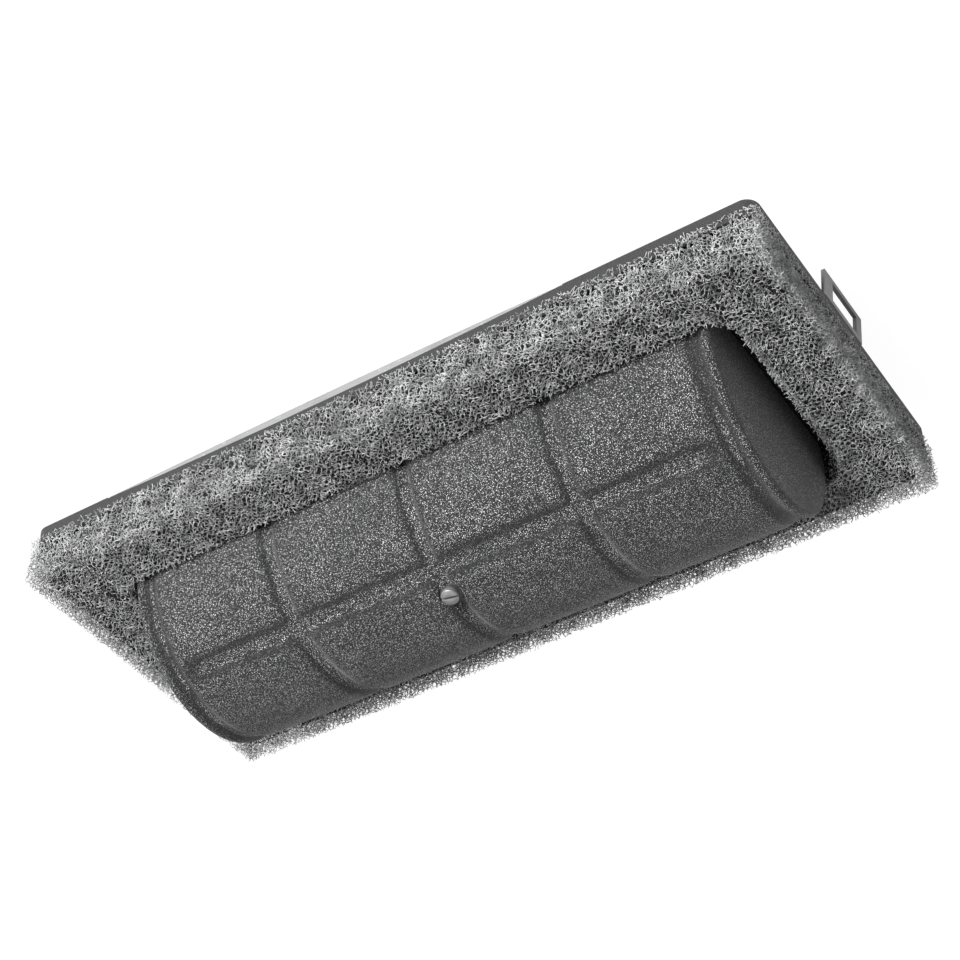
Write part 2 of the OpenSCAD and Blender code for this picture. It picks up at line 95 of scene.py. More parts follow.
@dataclass
class Graph:
    """Adds nodes to one node tree and links them.

    Args:
        tree: The node tree to fill.
    """

    tree: bpy.types.NodeTree

    def node(self, kind: str, **settings: object) -> Node:
        """Adds a node.

        Args:
            kind: The node's type name.
            settings: Properties of the node, or values of its inputs by name with spaces as underscores.

        Returns:
            The new node.
        """
        made = self.tree.nodes.new(kind)
        for name, value in settings.items():
            if hasattr(made, name):
                setattr(made, name, value)
            else:
                made.inputs[name.replace("_", " ")].default_value = value
        return made

    def link(self, source: Socket, target: Socket) -> None:
        """Joins an output socket to an input socket."""
        self.tree.links.new(source, target)

    def feed(self, target: Socket, value: object) -> None:
        """Gives an input what it reads.

        Args:
            target: The input socket.
            value: An output socket, a number, or a colour of three numbers or four.
        """
        if isinstance(value, Socket):
            self.link(value, target)
        elif isinstance(value, tuple) and len(value) == 3:
            target.default_value = (*value, 1.0)
        else:
            target.default_value = value

    def math(self, operation: str, first: object, second: object = 0.0) -> Socket:
        """Adds a Math node.

        Args:
            operation: The node's operation.
            first: A socket or a number.
            second: A socket or a number.

        Returns:
            The node's output socket.
        """
        made = self.node("ShaderNodeMath", operation=operation)
        self.feed(made.inputs[0], first)
        self.feed(made.inputs[1], second)
        return made.outputs[0]

    def mapped(self, value: Socket, low: object, high: object, to_low: object = 0.0,
               to_high: object = 1.0) -> Socket:
        """Maps a value from one range to another, clamped.

        Args:
            value: The socket to map.
            low: The lower end of the source range, a socket or a number.
            high: The upper end of the source range, a socket or a number.
            to_low: What the lower end becomes.
            to_high: What the upper end becomes.

        Returns:
            The mapped value's socket.
        """
        made = self.node("ShaderNodeMapRange")
        ends = {"Value": value, "From Min": low, "From Max": high, "To Min": to_low, "To Max": to_high}
        for name, end in ends.items():
            self.feed(made.inputs[name], end)
        return made.outputs["Result"]

    def mixed(self, factor: Socket, first: object, second: object) -> Socket:
        """Mixes two colours.

        Args:
            factor: How much of the second colour shows.
            first: A colour socket or a colour.
            second: A colour socket or a colour.

        Returns:
            The mixed colour's socket.
        """
        made = self.node("ShaderNodeMix", data_type="RGBA")
        for place, value in ((0, factor), (6, first), (7, second)):
            self.feed(made.inputs[place], value)
        return made.outputs[2]

    def noise(self, place: Socket, scale: object, detail: float = 2.0,
              roughness: float = 0.5) -> Socket:
        """Adds a Noise Texture.

        Args:
            place: The coordinates to read.
            scale: Features per metre, a socket or a number.
            detail: The number of finer layers.
            roughness: The strength of the finer layers.

        Returns:
            The noise value's socket.
        """
        made = self.node("ShaderNodeTexNoise", Detail=detail, Roughness=roughness)
        self.feed(made.inputs["Vector"], place)
        self.feed(made.inputs["Scale"], scale)
        return made.outputs["Fac"]

    def object_place(self, stretch: Sequence[float] = (1.0, 1.0, 1.0)) -> Socket:
        """Reads the Object coordinates.

        Args:
            stretch: How much each axis is scaled before a pattern reads it.

        Returns:
            The coordinates' socket.
        """
        source = self.node("ShaderNodeTexCoord").outputs["Object"]
        if tuple(stretch) == (1.0, 1.0, 1.0):
            return source
        mapping = self.node("ShaderNodeMapping")
        mapping.inputs["Scale"].default_value = tuple(stretch)
        self.link(source, mapping.inputs["Vector"])
        return mapping.outputs["Vector"]


@dataclass(frozen=True)
class Port:
    """A named socket of a node group.

    Args:
        name: The socket's name.
        kind: The socket's type name.
        default: Its value when nothing is linked.
    """

    name: str
    kind: str = "NodeSocketFloat"
    default: object = 0.0


def new_group(name: str, takes: Sequence[Port], gives: Sequence[Port]) -> tuple[Graph, dict, dict]:
    """Starts a shader node group.

    Args:
        name: The group's name.
        takes: Its inputs.
        gives: Its outputs.

    Returns:
        The graph to fill, its inputs by name and its outputs by name.
    """
    tree = bpy.data.node_groups.new(name, "ShaderNodeTree")
    for direction, ports in (("INPUT", takes), ("OUTPUT", gives)):
        for port in ports:
            made = tree.interface.new_socket(name=port.name, in_out=direction, socket_type=port.kind)
            if direction == "INPUT":
                made.default_value = port.default
    graph = Graph(tree)
    inputs = graph.node("NodeGroupInput").outputs
    outputs = graph.node("NodeGroupOutput").inputs
    return graph, {p.name: inputs[p.name] for p in takes}, {p.name: outputs[p.name] for p in gives}


# The attribute that holds painted shade in the dome's grooves, and the share of the flock's light tips that
# stays where that shade is deepest
PAINTED_GROOVE_SHADE = "pressed"
GROOVE_SHADE_TIP_SHARE = 0.22
COLOUR = "NodeSocketColor"
WHITE = (1.0, 1.0, 1.0, 1.0)
BLACK = (0.0, 0.0, 0.0, 1.0)


def flock_group() -> bpy.types.NodeTree:
    """Builds the speckle of short flock fibres: single light tips on a dark ground, brushed unevenly, with
    fewer light tips where painted shade darkens the dome's grooves.

    Returns:
        The node group.
    """
    graph, takes, gives = new_group(
        "Flock speckle",
        [Port("Ground", COLOUR, BLACK), Port("Tips", COLOUR, WHITE), Port("Scale", default=2600.0),
         Port("Cover", default=0.5), Port("Softness", default=0.1)],
        [Port("Color", COLOUR), Port("Height")],
    )
    place = graph.object_place()
    # Painted shade in the dome's grooves, stored on the mesh
    pressed = graph.node("ShaderNodeAttribute", attribute_name=PAINTED_GROOVE_SHADE).outputs["Fac"]
    fibres = graph.noise(place, takes["Scale"], detail=1.0, roughness=0.7)
    low = graph.math("SUBTRACT", takes["Cover"], takes["Softness"])
    high = graph.math("ADD", takes["Cover"], takes["Softness"])
    tips = graph.mapped(fibres, low, high)
    brushed = graph.mapped(graph.noise(place, 70.0, detail=3.0), 0.3, 0.7, 0.82, 1.0)
    # The painted groove shade hides light tips: at its deepest only the given share of them stays
    upright = graph.mapped(pressed, 0.0, 1.0, 1.0, GROOVE_SHADE_TIP_SHARE)
    speckle = graph.math("MULTIPLY", graph.math("MULTIPLY", tips, brushed), upright)
    graph.link(graph.mixed(speckle, takes["Ground"], takes["Tips"]), gives["Color"])
    graph.link(fibres, gives["Height"])
    return graph.tree


def rolled_group() -> bpy.types.NodeTree:
    """Builds the fine lengthwise grain of rolled sheet, with smudges and pale rubbed spots.

    Returns:
        The node group.
    """
    graph, takes, gives = new_group(
        "Rolled grain",
        [Port("Metal", COLOUR, WHITE), Port("Stain", COLOUR, BLACK), Port("Grain", default=0.3),
         Port("Smooth", default=0.3), Port("Rough", default=0.6)],
        [Port("Color", COLOUR), Port("Roughness"), Port("Height")],
    )
    lines = graph.noise(graph.object_place((0.04, 1.0, 1.0)), 2400.0, detail=3.0, roughness=0.65)
    smudge = graph.noise(graph.object_place(), 55.0, detail=5.0, roughness=0.6)
    spots = graph.noise(graph.object_place(), 900.0, detail=1.0)
    dirt = graph.mapped(smudge, 0.42, 0.68)
    dulled = graph.math("MULTIPLY", dirt, graph.mapped(lines, 0.3, 0.7, 0.2, 0.75))
    grey = graph.math("MULTIPLY", takes["Grain"], graph.mapped(lines, 0.35, 0.65))
    stain = graph.math("MAXIMUM", dulled, grey)
    rubbed = graph.mixed(graph.mapped(spots, 0.68, 0.74, 0.0, 0.25), takes["Metal"], (0.82, 0.82, 0.82))
    graph.link(graph.mixed(stain, rubbed, takes["Stain"]), gives["Color"])
    worn = graph.math("ADD", graph.math("MULTIPLY", dirt, 0.6), graph.math("MULTIPLY", lines, 0.4))
    graph.link(graph.mapped(worn, 0.0, 1.0, takes["Smooth"], takes["Rough"]), gives["Roughness"])
    graph.link(lines, gives["Height"])
    return graph.tree


def weave_group() -> bpy.types.NodeTree:
    """Builds a plain wire weave: two sets of wires that pass over and under each other.

    Returns:
        The node group.
    """
    graph, takes, gives = new_group(
        "Wire weave",
        [Port("Wire", COLOUR, WHITE), Port("Hole", COLOUR, BLACK), Port("Pitch", default=3000.0)],
        [Port("Color", COLOUR), Port("Height")],
    )
    axes = graph.node("ShaderNodeSeparateXYZ")
    graph.link(graph.object_place(), axes.inputs[0])
    around = graph.math("ADD", axes.outputs["Y"], axes.outputs["Z"])
    waves = []
    for place in (axes.outputs["X"], around):
        wave = graph.math("SINE", graph.math("MULTIPLY", place, takes["Pitch"]))
        waves.append(graph.math("ABSOLUTE", wave))
    wires = graph.math("MAXIMUM", *waves)
    graph.link(graph.mixed(graph.mapped(wires, 0.55, 0.8), takes["Hole"], takes["Wire"]), gives["Color"])
    graph.link(wires, gives["Height"])
    return graph.tree


def pore_group() -> bpy.types.NodeTree:
    """Builds open pores: cells darkened with painted shade between lighter walls, with the tone drifting over
    a few cells.

    Returns:
        The node group.
    """
    graph, takes, gives = new_group(
        "Open pores",
        [Port("Wall", COLOUR, WHITE), Port("Pore", COLOUR, BLACK), Port("Cells", default=600.0),
         Port("Width", default=0.1)],
        [Port("Color", COLOUR), Port("Height")],
    )
    place = graph.object_place()
    cells = graph.node("ShaderNodeTexVoronoi", feature="DISTANCE_TO_EDGE")
    graph.link(place, cells.inputs["Vector"])
    graph.link(takes["Cells"], cells.inputs["Scale"])
    # The pores' dark middles are painted shade
    wall = graph.mapped(cells.outputs["Distance"], 0.0, takes["Width"], 1.0, 0.0)
    drift = graph.mapped(graph.noise(place, 220.0, detail=2.0), 0.3, 0.7, 0.55, 1.0)
    shown = graph.math("MULTIPLY", wall, drift)
    graph.link(graph.mixed(shown, takes["Pore"], takes["Wall"]), gives["Color"])
    graph.link(wall, gives["Height"])
    return graph.tree


# Finishes


class Effect(Enum):
    """The effects that several materials share."""

    FLOCK = "flock"
    ROLLED = "rolled"
    WEAVE = "weave"
    PORES = "pores"


def start_material(name: str, **settings: object) -> tuple[Material, Graph, Node]:
    """Starts a material with a Principled BSDF.

    Args:
        name: The material's name.
        settings: The shader's own input values, by name with spaces as underscores.

    Returns:
        The material, its graph and its shader node.
    """
    material = bpy.data.materials.new(name)
    material.use_nodes = True
    graph = Graph(material.node_tree)
    shader = material.node_tree.nodes["Principled BSDF"]
    for key, value in settings.items():
        graph.feed(shader.inputs[key.replace("_", " ")], value)
    return material, graph, shader


@dataclass
class Workshop:
    """Holds the shared node groups, and coats materials with them.

    Args:
        groups: The shader node groups by effect.
    """

    groups: dict[Effect, bpy.types.NodeTree] = field(default_factory=dict)

    def __post_init__(self) -> None:
        """Builds each shared group once."""
        self.groups = {Effect.FLOCK: flock_group(), Effect.ROLLED: rolled_group(),
                       Effect.WEAVE: weave_group(), Effect.PORES: pore_group()}

    def coat(self, name: str, effect: Effect, values: dict[str, object], relief: float,
             **settings: object) -> Material:
        """Builds a material whose colour and relief come from a shared group.

        Args:
            name: The material's name.
            effect: The group's effect.
            values: The group's input values by name.
            relief: The depth in metres of the group's height from 0 to 1.
            settings: The shader's own input values, by name with spaces as underscores.

        Returns:
            The material.
        """
        material, graph, shader = start_material(name, **settings)
        made = graph.node("ShaderNodeGroup", node_tree=self.groups[effect])
        for key, value in values.items():
            graph.feed(made.inputs[key], value)
        graph.link(made.outputs["Color"], shader.inputs["Base Color"])
        if "Roughness" in made.outputs:
            graph.link(made.outputs["Roughness"], shader.inputs["Roughness"])
        bump = graph.node("ShaderNodeBump", Distance=relief, Strength=1.0)
        graph.link(made.outputs["Height"], bump.inputs["Height"])
        graph.link(bump.outputs["Normal"], shader.inputs["Normal"])
        return material


@dataclass(frozen=True)
class FlockFinish:
    """Short flock fibres on a moulded or woven ground.

    Args:
        name: The material's name.
        ground: The colour between the fibres.
        tips: The colour of the fibres that catch the light.
        scale: Fibres per metre.
        cover: The noise level above which a fibre is light; lower shows more of them.
        softness: The width of the change from ground to fibre.
        relief: The depth of the pile.
    """

    name: str
    ground: Colour
    tips: Colour
    scale: float = 4000.0
    cover: float = 0.52
    softness: float = 0.1
    relief: float = 0.025 * MM

    def material(self, shop: Workshop) -> Material:
        """Builds the material."""
        values = {"Ground": self.ground, "Tips": self.tips, "Scale": self.scale, "Cover": self.cover,
                  "Softness": self.softness}
        return shop.coat(self.name, Effect.FLOCK, values, self.relief, Roughness=0.82, Metallic=0.0,
                         Sheen_Weight=0.15, Specular_IOR_Level=0.3)


@dataclass(frozen=True)
class MetalFinish:
    """Rolled or turned metal with grain, smudges and rubbed spots.

    Args:
        name: The material's name.
        metal: The clean metal's colour.
        stain: The colour of the smudges and of the grain's lines.
        metallic: How metallic the surface is.
        grain: The strength of the grain's lines.
        smooth: The lowest roughness.
        rough: The highest roughness.
        relief: The depth of the grain.
    """

    name: str
    metal: Colour
    stain: Colour
    metallic: float = 0.8
    grain: float = 0.3
    smooth: float = 0.3
    rough: float = 0.55
    relief: float = 0.02 * MM

    def material(self, shop: Workshop) -> Material:
        """Builds the material."""
        values = {"Metal": self.metal, "Stain": self.stain, "Grain": self.grain, "Smooth": self.smooth,
                  "Rough": self.rough}
        return shop.coat(self.name, Effect.ROLLED, values, self.relief, Roughness=self.rough,
                         Metallic=self.metallic)


@dataclass(frozen=True)
class WeaveFinish:
    """A fine wire weave.

    Args:
        name: The material's name.
        wire: The wires' colour.
        hole: The colour of what shows between them.
        pitch: Radians per metre, half a wave to each wire.
        relief: The depth of the weave.
    """

    name: str
    wire: Colour
    hole: Colour
    pitch: float = 2 * math.pi / (1.6 * MM)
    relief: float = 0.2 * MM

    def material(self, shop: Workshop) -> Material:
        """Builds the material."""
        values = {"Wire": self.wire, "Hole": self.hole, "Pitch": self.pitch}
        return shop.coat(self.name, Effect.WEAVE, values, self.relief, Roughness=0.38, Metallic=0.75)


@dataclass(frozen=True)
class PoreFinish:
    """Open or closed cells in a soft ground.

    Args:
        name: The material's name.
        wall: The cell walls' colour.
        pore: The colour inside the cells, darker as painted shade.
        cells: Cells per metre.
        width: The walls' share of a cell.
        relief: The cells' depth.
        roughness: The surface's roughness.
    """

    name: str
    wall: Colour
    pore: Colour
    cells: float = 620.0
    width: float = 0.12
    relief: float = 0.4 * MM
    roughness: float = 0.85

    def material(self, shop: Workshop) -> Material:
        """Builds the material."""
        values = {"Wall": self.wall, "Pore": self.pore, "Cells": self.cells, "Width": self.width}
        return shop.coat(self.name, Effect.PORES, values, self.relief, Roughness=self.roughness, Metallic=0.0)


@dataclass(frozen=True)
class StrutFinish:
    """The glossy struts of open foam, whose tone drifts from cell to cell.

    Args:
        name: The material's name.
        dull: The colour of the dusty struts.
        bright: The colour of the clean struts.
    """

    name: str
    dull: Colour
    bright: Colour

    def material(self, shop: Workshop) -> Material:
        """Builds the material."""
        material, graph, shader = start_material(self.name, Roughness=0.3, Metallic=0.0)
        place = graph.object_place()
        patches = graph.mapped(graph.noise(place, 260.0, detail=2.0), 0.32, 0.68)
        graph.link(graph.mixed(patches, self.dull, self.bright), shader.inputs["Base Color"])
        shine = graph.mapped(graph.noise(place, 500.0), 0.35, 0.65, 0.2, 0.5)
        graph.link(shine, shader.inputs["Roughness"])
        return material


# Modelling by hand

VertexTest = Callable[[Vector], bool]
EdgeTest = Callable[[Vector, Vector], bool]
# The distances that count as touching and as doubled, and the angles in degrees that count as flat and
# as sharp enough to round
NEAR = 0.02 * MM
WELD = 0.002 * MM
FLAT = 0.6
SHARP = 34.0


def deselect_all() -> None:
    """Leaves object mode with nothing selected."""
    if bpy.context.object is not None and bpy.context.object.mode != "OBJECT":
        bpy.ops.object.mode_set(mode="OBJECT")
    bpy.ops.object.select_all(action="DESELECT")


def activate(piece: Piece) -> None:
    """Makes a piece the only selected object, and the active one."""
    deselect_all()
    piece.select_set(True)
    bpy.context.view_layer.objects.active = piece


def settle(piece: Piece, name: str) -> Piece:
    """Names a new piece and moves its place into its mesh.

    Args:
        piece: The object.
        name: The name for the object and its mesh.

    Returns:
        The same object, at the origin.
    """
    activate(piece)
    bpy.ops.object.transform_apply(location=True, rotation=True, scale=True)
    piece.name = name
    piece.data.name = name
    return piece


def edit(piece: Piece) -> None:
    """Opens a piece in edit mode, with nothing selected."""
    activate(piece)
    bpy.ops.object.mode_set(mode="EDIT")
    bpy.ops.mesh.select_all(action="DESELECT")


def close_edit() -> None:
    """Goes back to object mode."""
    bpy.ops.object.mode_set(mode="OBJECT")


def pick_vertices(piece: Piece, wanted: VertexTest) -> None:
    """Selects vertices by their place, in edit mode.

    Args:
        piece: The object in edit mode.
        wanted: Says whether a vertex at this place is selected.
    """
    bpy.ops.mesh.select_all(action="DESELECT")
    bpy.ops.mesh.select_mode(type="VERT")
    mesh = bmesh.from_edit_mesh(piece.data)
    for vertex in mesh.verts:
        vertex.select_set(wanted(vertex.co))
    mesh.select_flush_mode()
    bmesh.update_edit_mesh(piece.data)


def pick_edges(piece: Piece, wanted: EdgeTest) -> None:
    """Selects edges by the places of their ends, in edit mode.

    Args:
        piece: The object in edit mode.
        wanted: Says whether an edge between these places is selected.
    """
    bpy.ops.mesh.select_all(action="DESELECT")
    bpy.ops.mesh.select_mode(type="EDGE")
    mesh = bmesh.from_edit_mesh(piece.data)
    for edge in mesh.edges:
        edge.select_set(wanted(edge.verts[0].co, edge.verts[1].co))
    bmesh.update_edit_mesh(piece.data)


def slice_mesh(place: Sequence[float], normal: Sequence[float], clear_below: bool = False) -> None:
    """Cuts the whole mesh by a plane, in edit mode.

    Args:
        place: A point on the plane.
        normal: The plane's normal.
        clear_below: Whether what lies behind the plane is deleted.
    """
    bpy.ops.mesh.select_all(action="SELECT")
    bpy.ops.mesh.bisect(plane_co=tuple(place), plane_no=tuple(normal), clear_inner=clear_below,
                        threshold=1e-7)


def apply_modifier(piece: Piece, kind: str, **settings: object) -> None:
    """Adds a modifier and applies it.

    Args:
        piece: The object.
        kind: The modifier's type name.
        settings: The modifier's properties.
    """
    activate(piece)
    made = piece.modifiers.new(kind.title(), kind)
    for name, value in settings.items():
        setattr(made, name, value)
    bpy.ops.object.modifier_apply(modifier=made.name)


def cut_out(piece: Piece, cutter: Piece) -> None:
    """Takes a cutter's shape out of a piece and deletes the cutter."""
    apply_modifier(piece, "BOOLEAN", operation="DIFFERENCE", solver="EXACT", object=cutter)
    bpy.data.objects.remove(cutter)


def smooth_by_angle(piece: Piece, degrees: float) -> None:
    """Shades a piece smooth except at edges sharper than an angle."""
    activate(piece)
    bpy.ops.object.shade_smooth_by_angle(angle=math.radians(degrees))


def lean(degrees: float) -> Vector:
    """Gives the direction that leans from straight up towards +Y by an angle."""
    return Vector((0.0, math.sin(math.radians(degrees)), math.cos(math.radians(degrees))))


def new_cylinder(name: str, radius: float, height: float, foot: Vector, axis: Vector,
                 sides: int) -> Piece:
    """Adds a closed cylinder.

    Args:
        name: The object's name.
        radius: Its radius.
        height: Its height.
        foot: The centre of its lower end.
        axis: The direction it points in.
        sides: The number of sides.

    Returns:
        The object, at the origin.
    """
    deselect_all()
    turn = axis.to_track_quat("Z", "Y").to_euler()
    bpy.ops.mesh.primitive_cylinder_add(vertices=sides, radius=radius, depth=height,
                                        location=foot + axis * (height / 2), rotation=turn)
    return settle(bpy.context.active_object, name)


def new_block(name: str, low: Vector, high: Vector, corner: float, segments: int = 5) -> Piece:
    """Adds a block with round upright edges.

    Args:
        name: The object's name.
        low: Its lowest corner.
        high: Its highest corner.
        corner: The radius of the upright edges.
        segments: The number of faces round each of them.

    Returns:
        The object, at the origin.
    """
    deselect_all()
    bpy.ops.mesh.primitive_cube_add(size=1.0, location=(low + high) / 2)
    block = bpy.context.active_object
    block.scale = high - low
    settle(block, name)
    edit(block)
    pick_edges(block, lambda a, b: abs(a.x - b.x) < NEAR and abs(a.y - b.y) < NEAR)
    bpy.ops.mesh.bevel(offset=corner, segments=segments, profile=0.5, affect="EDGES")
    close_edit()
    return block


def wear(piece: Piece, material: Material) -> None:
    """Gives a piece one material and no other."""
    piece.data.materials.clear()
    piece.data.materials.append(material)


def place_piece(piece: Piece, body: Body, slot: Slot, *nodes: str) -> None:
    """Puts a finished piece on its body and hides the CAD nodes it stands for.

    Args:
        piece: The object.
        body: The body it rides on.
        slot: Not used.
        nodes: The CAD nodes it stands for.
    """
    if nodes:
        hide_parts(*nodes)
    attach(piece, body.value)
    log.info("%s: %d faces on %s", piece.name, len(piece.data.polygons), body.value)


def refined_copy(node: str, edge: float, material: Material, body: Body, slot: Slot,
                 segments: int = 2) -> None:
    """Copies a CAD node's mesh, rounds its edges and dresses it. The copy stands for the node.

    Args:
        node: The CAD node.
        edge: The width of the rounding on its edges.
        material: The copy's material.
        body: The body it rides on.
        slot: The slot its finish comes from.
        segments: The number of faces across each rounding.
    """
    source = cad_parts[node]
    name = node + "_finished"
    piece = bpy.data.objects.new(name, source.data.copy())
    piece.data.name = name
    bpy.context.scene.collection.objects.link(piece)
    edit(piece)
    bpy.ops.mesh.select_all(action="SELECT")
    bpy.ops.mesh.remove_doubles(threshold=WELD)
    bpy.ops.mesh.dissolve_limited(angle_limit=math.radians(FLAT))
    close_edit()
    apply_modifier(piece, "BEVEL", width=edge, segments=segments, limit_method="ANGLE",
                   angle_limit=math.radians(SHARP), miter_outer="MITER_ARC", use_clamp_overlap=True)
    smooth_by_angle(piece, 40.0)
    apply_modifier(piece, "WEIGHTED_NORMAL", keep_sharp=True)
    wear(piece, material)
    place_piece(piece, body, slot, node)


# The element


@dataclass
class FoamLattice:
    """The struts of an open-cell foam: the edges of packed cells, jittered and bent so that no rows show.

    Args:
        cell: The edge of the cube that holds two foam cells.
        jitter: How far a joint of struts moves, as a share of the cell.
        thickness: The mean radius of a strut.
        seed: The seed of the random moves.
        turn: The lattice's turns about X, Y and Z, in radians.
        reach: How far past the shell its cubes are looked for, in cells.
        waves: The number of slow waves that bend the rows.
        wave_length: The shortest and the longest wave, in millimetres.
        swing: How far a wave moves a joint, in millimetres.
        spread: The thinnest and the thickest strut, as shares of the mean radius.
        map_slant: How much height shifts the bake's map along and across.
        map_margin: How much larger than the struts the map's square is.
    """

    cell: float = 1.95 * MM
    jitter: float = 0.14
    thickness: float = 0.085 * MM
    seed: int = 11
    turn: tuple[float, float, float] = (0.61, 0.37, 0.83)
    reach: float = 1.6
    waves: int = 5
    wave_length: tuple[float, float] = (5.0, 11.0)
    swing: float = 0.16
    spread: tuple[float, float] = (0.75, 1.3)
    map_slant: tuple[float, float] = (0.31, 0.43)
    map_margin: float = 1.002

    def unit_edges(self) -> np.ndarray:
        """Lists the struts of one cube of the lattice.

        Returns:
            An array of struts, each two joints, each three whole numbers of quarter cells.
        """
        joints = []
        for quarter in (1, 3):
            for order in ((0, quarter, 2), (0, 2, quarter)):
                for turn in range(3):
                    joints.append(order[-turn:] + order[:-turn])
        struts = []
        for first, other, shift in product(joints, joints, product((-4, 0, 4), repeat=3)):
            second = tuple(o + s for o, s in zip(other, shift))
            gap = sum((a - b) ** 2 for a, b in zip(first, second))
            if gap == 2 and second > first:
                struts.append((first, second))
        return np.array(struts)

    def struts(self, low: Vector, high: Vector, depth: Callable[[np.ndarray], np.ndarray],
               keep: Callable[[np.ndarray, np.ndarray], np.ndarray]) -> tuple[np.ndarray, np.ndarray]:
        """Fills a shell with struts.

        Args:
            low: The lowest corner of the space.
            high: The highest corner of the space.
            depth: Gives how far each point lies under the surface.
            keep: Says for points and their depths which ones hold a strut.

        Returns:
            The two ends of each strut.
        """
        about_x, about_y, about_z = (Matrix.Rotation(angle, 3, axis) for angle, axis in zip(self.turn, "XYZ"))
        turn = np.array(about_x @ about_y @ about_z)
        corners = np.array(list(product(*zip(low, high))))
        turned = corners @ turn / self.cell
        first, last = np.floor(turned.min(0)).astype(int) - 1, np.ceil(turned.max(0)).astype(int) + 1
        cubes = np.stack(np.meshgrid(*[np.arange(a, b) for a, b in zip(first, last)], indexing="ij"), -1)
        cubes = cubes.reshape(-1, 3)
        middles = (cubes + 0.5) * self.cell @ turn.T
        reach = self.reach * self.cell
        inside = ((middles > np.array(low) - reach) & (middles < np.array(high) + reach)).all(1)
        cubes, middles = cubes[inside], middles[inside]
        under = depth(middles)
        cubes = cubes[(under > -reach) & keep(middles, np.clip(under - reach, 0, None))]
        unit = self.unit_edges()
        ends = (cubes[:, None, None, :] * 4 + unit[None]).reshape(-1, 3)
        joints, which = np.unique(ends, axis=0, return_inverse=True)
        random = np.random.default_rng(self.seed)
        moved = joints * (self.cell / 4) @ turn.T
        moved += random.normal(scale=self.jitter * self.cell, size=moved.shape)
        for _ in range(self.waves):
            direction = random.normal(size=3)
            direction *= 2 * math.pi / (np.linalg.norm(direction) * random.uniform(*self.wave_length) * MM)
            swing = random.normal(size=3) * self.swing * MM
            moved += np.sin(moved @ direction + random.uniform(0, 2 * math.pi))[:, None] * swing
        which = which.reshape(-1, 2)
        starts, stops = moved[which[:, 0]], moved[which[:, 1]]
        middle = (starts + stops) / 2
        under = depth(middle)
        chosen = (under > 0) & keep(middle, under)
        return starts[chosen], stops[chosen]

    def mesh(self, name: str, starts: np.ndarray, stops: np.ndarray) -> bpy.types.Mesh:
        """Builds a closed three-sided prism along each strut, with a map for baking.

        Args:
            name: The mesh's name.
            starts: One end of each strut.
            stops: The other end of each strut.

        Returns:
            The mesh.
        """
        count = len(starts)
        random = np.random.default_rng(self.seed + 1)
        along = stops - starts
        along /= np.linalg.norm(along, axis=1, keepdims=True)
        helper = np.where(np.abs(along[:, 2:]) < 0.8, [[0.0, 0.0, 1.0]], [[1.0, 0.0, 0.0]])
        side = np.cross(along, helper)
        side /= np.linalg.norm(side, axis=1, keepdims=True)
        other = np.cross(along, side)
        radius = self.thickness * random.uniform(*self.spread, size=(count, 1))
        roll = random.uniform(0, 2 * math.pi, size=(count, 1))
        rings = []
        for end in (starts, stops):
            for corner in range(3):
                angle = roll + corner * 2 * math.pi / 3
                rings.append(end + radius * (np.cos(angle) * side + np.sin(angle) * other))
        points = np.stack(rings, 1).reshape(-1, 3)
        corners = np.array([0, 1, 4, 3, 1, 2, 5, 4, 2, 0, 3, 5, 0, 2, 1, 3, 4, 5])
        sizes = np.array([4, 4, 4, 3, 3])
        loops = (np.arange(count)[:, None] * 6 + corners).ravel()
        totals = np.tile(sizes, count)
        mesh = bpy.data.meshes.new(name)
        mesh.vertices.add(len(points))
        mesh.vertices.foreach_set("co", points.astype(np.float32).ravel())
        mesh.loops.add(len(loops))
        mesh.loops.foreach_set("vertex_index", loops.astype(np.int32))
        mesh.polygons.add(len(totals))
        mesh.polygons.foreach_set("loop_start", (np.cumsum(totals) - totals).astype(np.int32))
        mesh.update(calc_edges=True)
        mesh.validate()
        self.lay_map(mesh, points[loops])
        return mesh

    def lay_map(self, mesh: bpy.types.Mesh, places: np.ndarray) -> None:
        """Lays the bake's map obliquely over the struts, because their tone follows their place.

        Args:
            mesh: The struts' mesh.
            places: The place of each face corner.
        """
        flat = places[:, :2] + np.array(self.map_slant) * places[:, 2:]
        flat -= flat.min(0)
        flat /= flat.max() * self.map_margin
        layer = mesh.uv_layers.new(name="OFBake")
        layer.uv.foreach_set("vector", flat.astype(np.float32).ravel())


